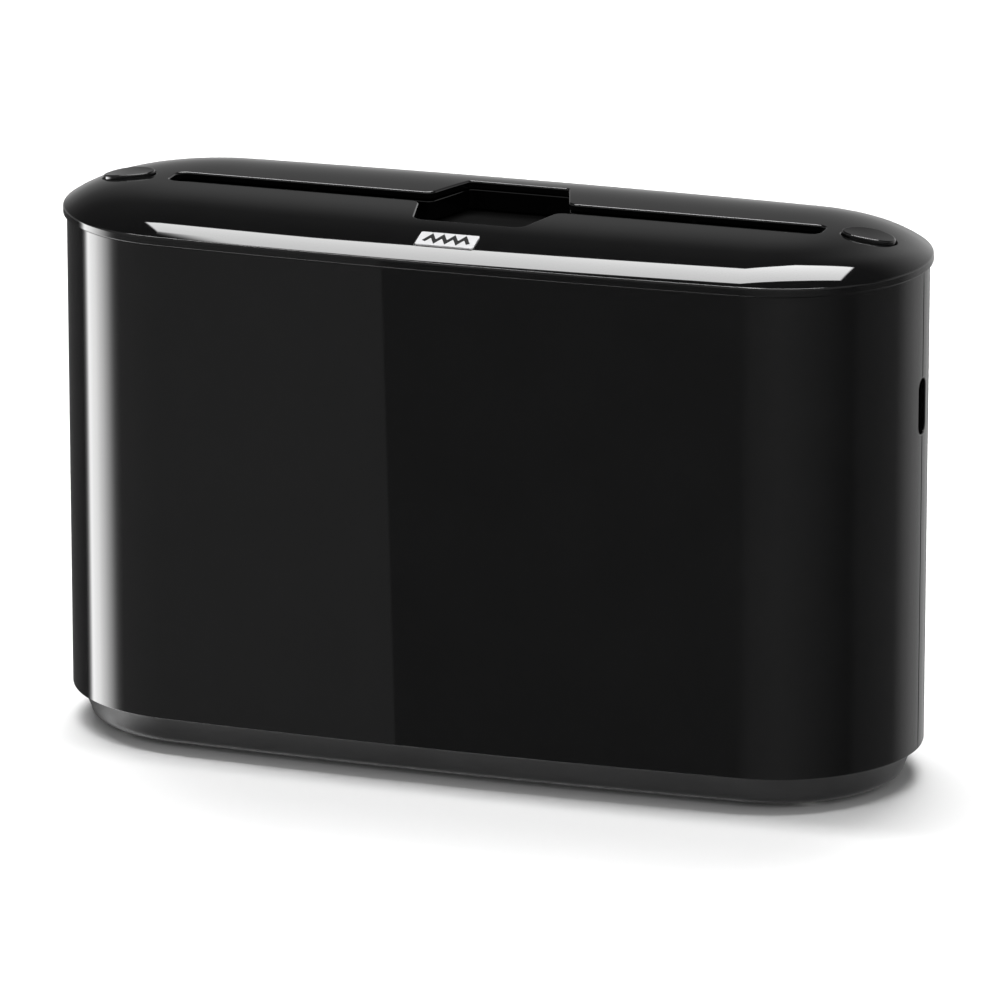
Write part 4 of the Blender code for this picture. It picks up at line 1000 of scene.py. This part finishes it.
def cross(size, arm):
    """A plus-shaped recess outline."""
    corners = []
    for turn in range(4):
        c, s = (1, 0, -1, 0)[turn], (0, 1, 0, -1)[turn]
        for x, y in ((size, -arm), (size, arm), (arm, arm)):
            corners.append((x * c - y * s, x * s + y * c, 0.16 * MM))
    return rounded(corners, 2)


def make_screw(name, axis, body):
    """A pan-head screw with a cross recess; its head is at the end away from its axis."""
    low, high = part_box(name)
    centre = (low + high) / 2
    size = high - low
    index = {"X": 0, "Y": 1, "Z": 2}[axis[-1]]
    length = size[index]
    radius = max(size[i] for i in range(3) if i != index) / 2
    start = centre.copy()
    start[index] = high[index] if axis.startswith("-") else low[index]
    skin = Skin()
    skin.place = facing(axis, start)
    head = circle(0, 0, radius, 40)
    head_height, shank = 1.8 * MM, 1.6 * MM
    crown = flat(0.25 * MM, -1)
    top = skin.rounding(head, crown, 0.9 * MM, 5, -1)
    recess = cross(1.5 * MM, 0.4 * MM).hole()
    mouth = skin.ring(recess, 0, crown, 0, 90)
    pit = skin.ring(recess, 0.12 * MM, flat(1.3 * MM, -1), 0, 30)
    skin.fill([top[0], mouth])
    skin.band(mouth, pit)
    skin.fill([pit])
    rings = top + skin.rounding(head, flat(head_height), 0.15 * MM, 2)[::-1]
    stem = circle(0, 0, shank, 40)
    rings.append(skin.ring(stem, 0, flat(head_height), 0, 0))
    turns = max(int((length - head_height - 2 * MM) / (0.8 * MM)), 1)
    for turn in range(turns):
        at = head_height + 0.8 * MM * (turn + 0.4)
        rings.append(skin.ring(stem, -0.22 * MM, flat(at), 0, -30))
        rings.append(skin.ring(stem, 0, flat(at + 0.4 * MM), 0, 30))
    rings.append(skin.ring(stem, -0.2 * MM, flat(length - 1.0 * MM), 0, 0))
    rings.append(skin.ring(stem, -1.1 * MM, flat(length), 0, 45))
    skin.chain(rings)
    skin.fill([rings[-1]])
    build(f"{name}_fastener", skin, SCREW_STEEL, body, "screw_steel", name)


def make_screws():
    for side_label, side in SIDES:
        for half_label, _ in HALVES:
            make_screw(f"base_screw_{half_label}_{side_label}", "Z", "housing")
            make_screw(f"guide_screw_{half_label}_{side_label}", "Z", "lid")
        for level in ("lower", "upper"):
            make_screw(f"seam_screw_{level}_{side_label}", "Y", "housing")
        make_screw(f"slider_screw_{side_label}", "X" if side > 0 else "-X", "platform")


# ---------------------------------------------------------------- cheeks, rods and platform
BRIDGE_UNDER = SLIDER_HIGH.z + 0.4 * MM
SLIDER_ARM_LOW = SLIDER_HIGH.z - 9 * MM
PLATFORM_TRAVEL = 130 * MM
ROD_BORE = 2.8 * MM
CHEEK_FOOT = 30 * MM                        # half the depth of a cheek's foot


def make_cheek(label, side):
    low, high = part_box(f"{label}_cheek")
    skin = Skin()
    half_width = high.y
    foot_top = CURB_TOP + GAP
    outline = rounded(mirrored([(CHEEK_FOOT, low.z, 1.0 * MM), (CHEEK_FOOT, foot_top, 1.0 * MM),
                                (half_width, foot_top, 1.0 * MM),
                                (half_width, high.z, 2.0 * MM)]), 4)
    slot_half = 4.4 * MM
    slot_low = SLIDER_ARM_LOW - PLATFORM_TRAVEL - 0.4 * MM
    slot = box_loop(-slot_half, slot_half, slot_low, BRIDGE_UNDER, 1.2 * MM, 5)
    skin.place = facing("X")
    inner, outer = span(side, CHEEK_INNER, CHEEK_OUTER)
    plate(skin, outline, inner, outer, EDGE, [slot])
    skin.place = Matrix.Identity(4)
    x = span(side, CHEEK_INNER + 1 * MM, CHEEK_HIGH.x)
    bridge = box_loop(x[0], x[1], -9 * MM, 9 * MM, 0.8 * MM, 4)
    plate(skin, bridge, BRIDGE_UNDER, BRIDGE_UNDER + 5 * MM, EDGE,
          [circle(side * ROD_X, 0, ROD_BORE)])
    for half in (-1, 1):
        gusset = rounded([(side * (CHEEK_OUTER - 0.5 * MM), BRIDGE_UNDER + 4.5 * MM, FINE_EDGE),
                          (side * (CHEEK_OUTER + 8 * MM), BRIDGE_UNDER + 4.5 * MM, FINE_EDGE),
                          (side * (CHEEK_OUTER - 0.5 * MM), FIXING_TOP - 1 * MM, FINE_EDGE)]
                         [::side], 3)
        skin.place = facing("Y")
        low_y, high_y = span(half, 7 * MM, 8.6 * MM)
        plate(skin, gusset, low_y, high_y, 0.25 * MM)
        skin.place = Matrix.Identity(4)
    build(f"{label}_cheek_plate", skin, CHEEK_GREY, "housing", "cheek_plastic",
                 f"{label}_cheek")


def make_rod(label, side):
    skin = Skin()
    plate(skin, circle(side * ROD_X, 0, (ROD_HIGH.x - ROD_LOW.x) / 2), ROD_LOW.z, ROD_HIGH.z,
          EDGE, (), 4)
    build(f"{label}_polished_rod", skin, ROD_STEEL, "housing", "rod_steel",
          f"{label}_guide_rod")


def make_slider(label, side):
    skin = Skin()
    plate(skin, circle(side * ROD_X, 0, 5.5 * MM), SLIDER_LOW.z, SLIDER_HIGH.z, 0.5 * MM,
          [circle(side * ROD_X, 0, ROD_BORE)], 4)
    inner = SLIDER_LOW.x
    side_block(skin, side, inner, ROD_X - 3.6 * MM, -4 * MM, 4 * MM,
               SLIDER_ARM_LOW, SLIDER_HIGH.z, 0.5 * MM)
    build(f"{label}_slider_sleeve", skin, NYLON, "platform", "nylon", f"{label}_slider")


def make_platform():
    skin = Skin()
    half_x, half_y = PLATFORM_HIGH.x, PLATFORM_HIGH.y
    outline = box_loop(-half_x, half_x, -half_y, half_y, 2.5 * MM, 6)
    under = PLATFORM_HIGH.z - 3 * MM
    plate(skin, outline, under, PLATFORM_HIGH.z, 0.6 * MM, (), 4)
    for half in (-1, 1):
        low_y, high_y = span(half, half_y - 2.1 * MM, half_y)
        block(skin, (-half_x + 2.5 * MM, low_y, under - 6 * MM),
              (half_x - 2.5 * MM, high_y, under + 1 * MM), 0.5 * MM)
    low = PLATFORM_LOW.z
    for _, side in SIDES:
        x = span(side, half_x - 2.1 * MM, half_x)
        skin.place = facing("X")
        plate(skin, box_loop(-14 * MM, 14 * MM, low, under + 1 * MM, 0.8 * MM, 4), x[0], x[1],
              EDGE, [circle(0, low + 4.5 * MM, SCREW_HOLE, 24)])
        skin.place = Matrix.Identity(4)
    # The tray wears the near-black painted-shade finish that darkens the recess under the opening
    build("lift_tray", skin, PLATFORM_PAINTED_SHADE, "platform", "platform_plastic",
                 "lift_platform")


# ---------------------------------------------------------------- latches and pins
HOOK_TIP = LATCH_LOW.x if LATCH_LOW.x > BUTTON_X else PIVOT_X - 9.5 * MM


def make_latch(label, side):
    low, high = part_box(f"{label}_latch")
    shank = 1.5 * MM
    arm_under, arm_top = PIVOT_Z - shank, PIVOT_Z + shank
    corners = [
        (side * (PIVOT_X + shank), low.z, 1.2 * MM),
        (side * (PIVOT_X + shank), PIVOT_Z - 3.2 * MM, 2.0 * MM),
        (side * (PIVOT_X + HUB_RADIUS), PIVOT_Z - 2.2 * MM, 1.8 * MM),
        (side * (PIVOT_X + HUB_RADIUS), PIVOT_Z + HUB_RADIUS, 3.4 * MM),
        (side * (PIVOT_X - HUB_RADIUS), PIVOT_Z + HUB_RADIUS, 2.5 * MM),
        (side * (PIVOT_X - HUB_RADIUS - 1 * MM), arm_top, 1.2 * MM),
        (side * (BUTTON_X - STEM_RADIUS - 0.4 * MM), arm_top, 0.8 * MM),
        (side * (BUTTON_X - STEM_RADIUS - 0.4 * MM), arm_under, 0.8 * MM),
        (side * (PIVOT_X - shank), arm_under, 1.6 * MM),
        (side * (PIVOT_X - shank), low.z + 4.4 * MM, 1.0 * MM),
        (side * HOOK_TIP, low.z + 4.4 * MM, 0.5 * MM),
        (side * HOOK_TIP, low.z + 2.0 * MM, 0.8 * MM),
        (side * (HOOK_TIP + 2.0 * MM), low.z, 0.8 * MM)]
    skin = Skin()
    skin.place = facing("Y")
    plate(skin, rounded(corners[::side], 5), low.y, high.y, EDGE,
          [circle(side * PIVOT_X, PIVOT_Z, PIN_HOLE, 32)])
    build(f"{label}_latch_lever", skin, NYLON, f"{label}_latch", "nylon",
                 f"{label}_latch")


def make_pin(label, side):
    skin = Skin()
    skin.place = facing("Y")
    plate(skin, circle(side * PIVOT_X, PIVOT_Z, (PIN_HIGH.z - PIN_LOW.z) / 2, 32),
          PIN_LOW.y, PIN_HIGH.y, FINE_EDGE)
    build(f"{label}_steel_pin", skin, ROD_STEEL, "lid", "rod_steel", f"{label}_latch_pin")


# ---------------------------------------------------------------- springs
def make_spring(name, body, turns, radius, wire, sides=12, steps=28):
    """A compression spring with closed ends, between the CAD spring's two ends."""
    low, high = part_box(name)
    centre = (low + high) / 2
    length = high.z - low.z
    total = turns + 2
    count = int(total * steps)
    closing = 1.8 * wire                    # rise of the closed turn at each end
    rise = length - 2 * wire - 2 * closing
    path = []
    for step in range(count + 1):
        turn = total * step / count
        closed = closing * (min(turn, 1.0) + max(turn - total + 1, 0))
        middle = min(max(turn - 1, 0), total - 2) / (total - 2)
        height = closed + middle * rise
        angle = 2 * math.pi * turn
        path.append((centre.x + radius * math.cos(angle), centre.y + radius * math.sin(angle),
                     low.z + wire + height))
    path = np.array(path)
    skin = Skin()
    rings = []
    around = np.linspace(0, 2 * math.pi, sides, endpoint=False)
    for index, point in enumerate(path):
        ahead = path[min(index + 1, count)] - path[max(index - 1, 0)]
        ahead /= np.linalg.norm(ahead)
        out = np.array([point[0] - centre.x, point[1] - centre.y, 0]) / radius
        out -= ahead * out.dot(ahead)
        out /= np.linalg.norm(out)
        up = np.cross(ahead, out)
        ways = np.outer(np.cos(around), out) + np.outer(np.sin(around), up)
        rings.append(skin.add(point + ways * wire, ways))
    skin.chain(rings)
    for ring, point, way in ((rings[0], path[0], path[0] - path[1]),
                             (rings[-1], path[-1], path[-1] - path[-2])):
        skin.close(ring, point, way / np.linalg.norm(way))
    spring = build(f"{name}_coil", skin, SPRING_STEEL, body, "spring_steel", name)
    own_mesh(spring)


# ---------------------------------------------------------------- making the object
make_lid()
make_guide()
make_badge()
for label, half in HALVES:
    make_shell(label, half)
make_base()
make_feet()
make_screws()
make_platform()
for label, side in SIDES:
    make_button(label, side)
    make_cheek(label, side)
    make_rod(label, side)
    make_slider(label, side)
    make_latch(label, side)
    make_pin(label, side)
    make_spring(f"{label}_lift_spring", "housing", 14, 4.2 * MM, 0.6 * MM)
    make_spring(f"{label}_button_spring", "lid", 4, 3.6 * MM,
                0.35 * MM, 10)


# ---------------------------------------------------------------- floor, light and camera
def make_floor():
    mesh = bpy.data.meshes.new("table_top")
    bm = bmesh.new()
    bmesh.ops.create_grid(bm, x_segments=1, y_segments=1, size=30.0)
    bm.to_mesh(mesh)
    bm.free()
    floor = bpy.data.objects.new("table_top", mesh)
    bpy.context.scene.collection.objects.link(floor)
    made = bpy.data.materials.new("pale floor")
    made.use_nodes = True
    shader = made.node_tree.nodes["Principled BSDF"]
    shader.inputs["Base Color"].default_value = (0.9, 0.9, 0.9, 1)
    shader.inputs["Roughness"].default_value = 0.9
    shader.inputs["Specular IOR Level"].default_value = 0.0
    floor.data.materials.append(made)
    floor.visible_glossy = False


class Sky:
    """A studio surround as a world shader: soft panels placed by direction."""

    def __init__(self):
        world = bpy.data.worlds.new("studio")
        bpy.context.scene.world = world
        world.use_nodes = True
        self.tree = world.node_tree
        self.tree.nodes.clear()
        self.out = self.tree.nodes.new("ShaderNodeOutputWorld")
        coord = self.tree.nodes.new("ShaderNodeTexCoord")
        split = self.tree.nodes.new("ShaderNodeSeparateXYZ")
        self.tree.links.new(coord.outputs["Generated"], split.inputs["Vector"])
        self.x, self.y, self.z = (split.outputs[name] for name in "XYZ")
        front = self.math("MULTIPLY", self.y, -1.0)
        degrees = 180 / math.pi
        self.front = self.math("MULTIPLY", self.math("ARCTAN2", self.x, front), degrees)
        self.back = self.math("MULTIPLY", self.math("ARCTAN2", self.x, self.y), degrees)
        self.rise = self.math("MULTIPLY", self.math("ARCSINE", self.z), degrees)
        self.total = None

    def math(self, kind, first, second=None):
        made = self.tree.nodes.new("ShaderNodeMath")
        made.operation = kind
        for socket, value in zip(made.inputs, (first, second)):
            if value is None:
                continue
            if isinstance(value, (int, float)):
                socket.default_value = value
            else:
                self.tree.links.new(value, socket)
        return made.outputs[0]

    def line(self, value, slope, start):
        return self.math("ADD", self.math("MULTIPLY", value, slope), start)

    def step(self, value, low, high):
        made = self.tree.nodes.new("ShaderNodeMapRange")
        made.interpolation_type = "SMOOTHSTEP"
        made.inputs["From Min"].default_value = low
        made.inputs["From Max"].default_value = high
        self.tree.links.new(value, made.inputs["Value"])
        return made.outputs["Result"]

    def curve(self, value, stops):
        """A strength that runs through (value, strength) stops in straight lines."""
        first, last = stops[0][0], stops[-1][0]
        place = self.math("DIVIDE", self.math("SUBTRACT", value, first), last - first)
        made = self.tree.nodes.new("ShaderNodeValToRGB")
        ramp = made.color_ramp.elements
        for index, (at, strength) in enumerate(stops):
            position = (at - first) / (last - first)
            stop = ramp[index] if index < 2 else ramp.new(position)
            stop.position = position
            stop.color = (strength, strength, strength, 1)
        self.tree.links.new(place, made.inputs["Fac"])
        return made.outputs["Color"]

    def window(self, value, rise, fall):
        """1 between two soft edges, each a (start, end) pair; None leaves a side open."""
        share = None
        if rise:
            share = self.step(value, *rise)
        if fall:
            down = self.math("SUBTRACT", 1.0, self.step(value, *fall))
            share = down if share is None else self.math("MULTIPLY", share, down)
        return share

    def add(self, strength, *shares):
        share = shares[0]
        for other in shares[1:]:
            share = self.math("MULTIPLY", share, other)
        part = self.math("MULTIPLY", share, strength)
        self.total = part if self.total is None else self.math("ADD", self.total, part)

    def finish(self):
        light = self.tree.nodes.new("ShaderNodeBackground")
        self.tree.links.new(self.total, light.inputs["Strength"])
        self.tree.links.new(light.outputs["Background"], self.out.inputs["Surface"])


# Strength of the band below the horizon, by degrees round from straight ahead
LOW_BAND = (
    (-180, 0.70), (-168, 0.14), (-107, 0.12), (-103.5, 0.8), (-101, 3.6), (-97.5, 12.0),
    (-88, 11.9), (-80, 8.8), (-73, 4.9), (-69.5, 2.6), (-66.6, 1.25), (-63, 0.55),
    (-60, 0.23), (-20, 0.17), (-12, 0.17), (-2, 0.27), (20, 0.33), (35, 0.28), (51, 0.21),
    (67, 0.13), (75, 0.10), (84, 0.18), (103, 0.22), (120, 0.25), (133, 0.62), (144, 0.78),
    (170, 0.73), (180, 0.70))
# Strength of the glow behind, by degrees above the horizon
GLOW = (
    (0, 0.62), (7, 0.42), (10.7, 0.335), (12.6, 0.29), (14.1, 0.25), (16, 0.20),
    (19.3, 0.15), (25, 0.09), (30, 0.065), (60, 0.06))


def make_sky():
    sky = Sky()
    low = sky.window(sky.rise, None, (-0.5, 0.5))
    high = sky.window(sky.rise, (-0.5, 0.5), None)
    # Below the horizon, round the object: seen only in the gloss of upright faces
    round_it = sky.curve(sky.front, LOW_BAND)
    sky.add(round_it, low)
    slanted = sky.math("ADD", sky.front, sky.math("MULTIPLY", sky.rise, 0.11))
    sky.add(0.19, low, sky.window(slanted, (-68, -60), (-22.38, -22.34)))
    # Above it and behind: a glow that fades upwards, brighter to the right
    behind = sky.window(sky.y, (-0.05, 0.05), None)
    ahead = sky.window(sky.y, None, (-0.05, 0.05))
    sky.add(0.5, low, behind, sky.window(sky.rise, (-12, -5), None))
    glow = sky.curve(sky.rise, GLOW)
    sky.add(glow, high, behind)
    sky.add(0.72, high, behind, sky.window(sky.back, (-17, 3), (50, 90)),
            sky.window(sky.rise, None, (18, 50)))
    # In front: an even pale surround
    sky.add(0.55, high, ahead)
    # Overhead: a long soft box, and a strip beside it for a short shadow
    over_x = sky.math("DIVIDE", sky.x, sky.math("MAXIMUM", sky.z, 0.01))
    over_y = sky.math("DIVIDE", sky.y, sky.math("MAXIMUM", sky.z, 0.01))
    sky.add(36.0, high, sky.window(over_x, (-0.75, -0.65), (0.3, 0.4)),
            sky.window(over_y, (-0.025, -0.015), (0.065, 0.075)))
    near = sky.math("MULTIPLY", sky.math("MAXIMUM", sky.math("ADD", over_x, 0.35), 0.0), -0.62)
    upper = sky.math("MAXIMUM", sky.line(over_x, 1.95, 1.2785), sky.line(over_x, -0.3, 0.368))
    left = sky.math("MAXIMUM", sky.line(over_y, 0.112, 0.394), sky.line(over_y, 0.413, 0.329))
    right = sky.math("ADD", over_x, sky.math("MULTIPLY", over_y, 0.32))
    sky.add(13.6, high,
            sky.window(sky.math("ADD", over_y, near), (0.10, 0.11), None),
            sky.window(sky.math("SUBTRACT", over_y, upper), None, (-0.01, 0.01)),
            sky.window(over_y, None, (0.87, 0.89)),
            sky.window(sky.math("ADD", over_x, left), (-0.010, 0.012), None),
            sky.window(right, None, (0.344, 0.364)))
    sky.finish()


AZIMUTH, ELEVATION = math.radians(18.75), math.radians(16.23)
DISTANCE = 3.262
AIM = Vector((0, 0, 0.0911))
SIDE_SHIFT = 0.0021


def make_camera():
    back = Vector((math.sin(AZIMUTH) * math.cos(ELEVATION),
                   -math.cos(AZIMUTH) * math.cos(ELEVATION), math.sin(ELEVATION)))
    right = Vector((math.cos(AZIMUTH), math.sin(AZIMUTH), 0))
    data = bpy.data.cameras.new("camera")
    data.sensor_width = 36.0
    data.lens = 325.2
    data.clip_start, data.clip_end = 0.1, 100.0
    camera = bpy.data.objects.new("camera", data)
    bpy.context.scene.collection.objects.link(camera)
    camera.location = AIM + back * DISTANCE + right * SIDE_SHIFT
    camera.rotation_mode = "QUATERNION"
    camera.rotation_quaternion = (-back).to_track_quat("-Z", "Y")
    bpy.context.scene.camera = camera


make_floor()
make_sky()
make_camera()
bpy.context.scene.view_settings.view_transform = "Standard"
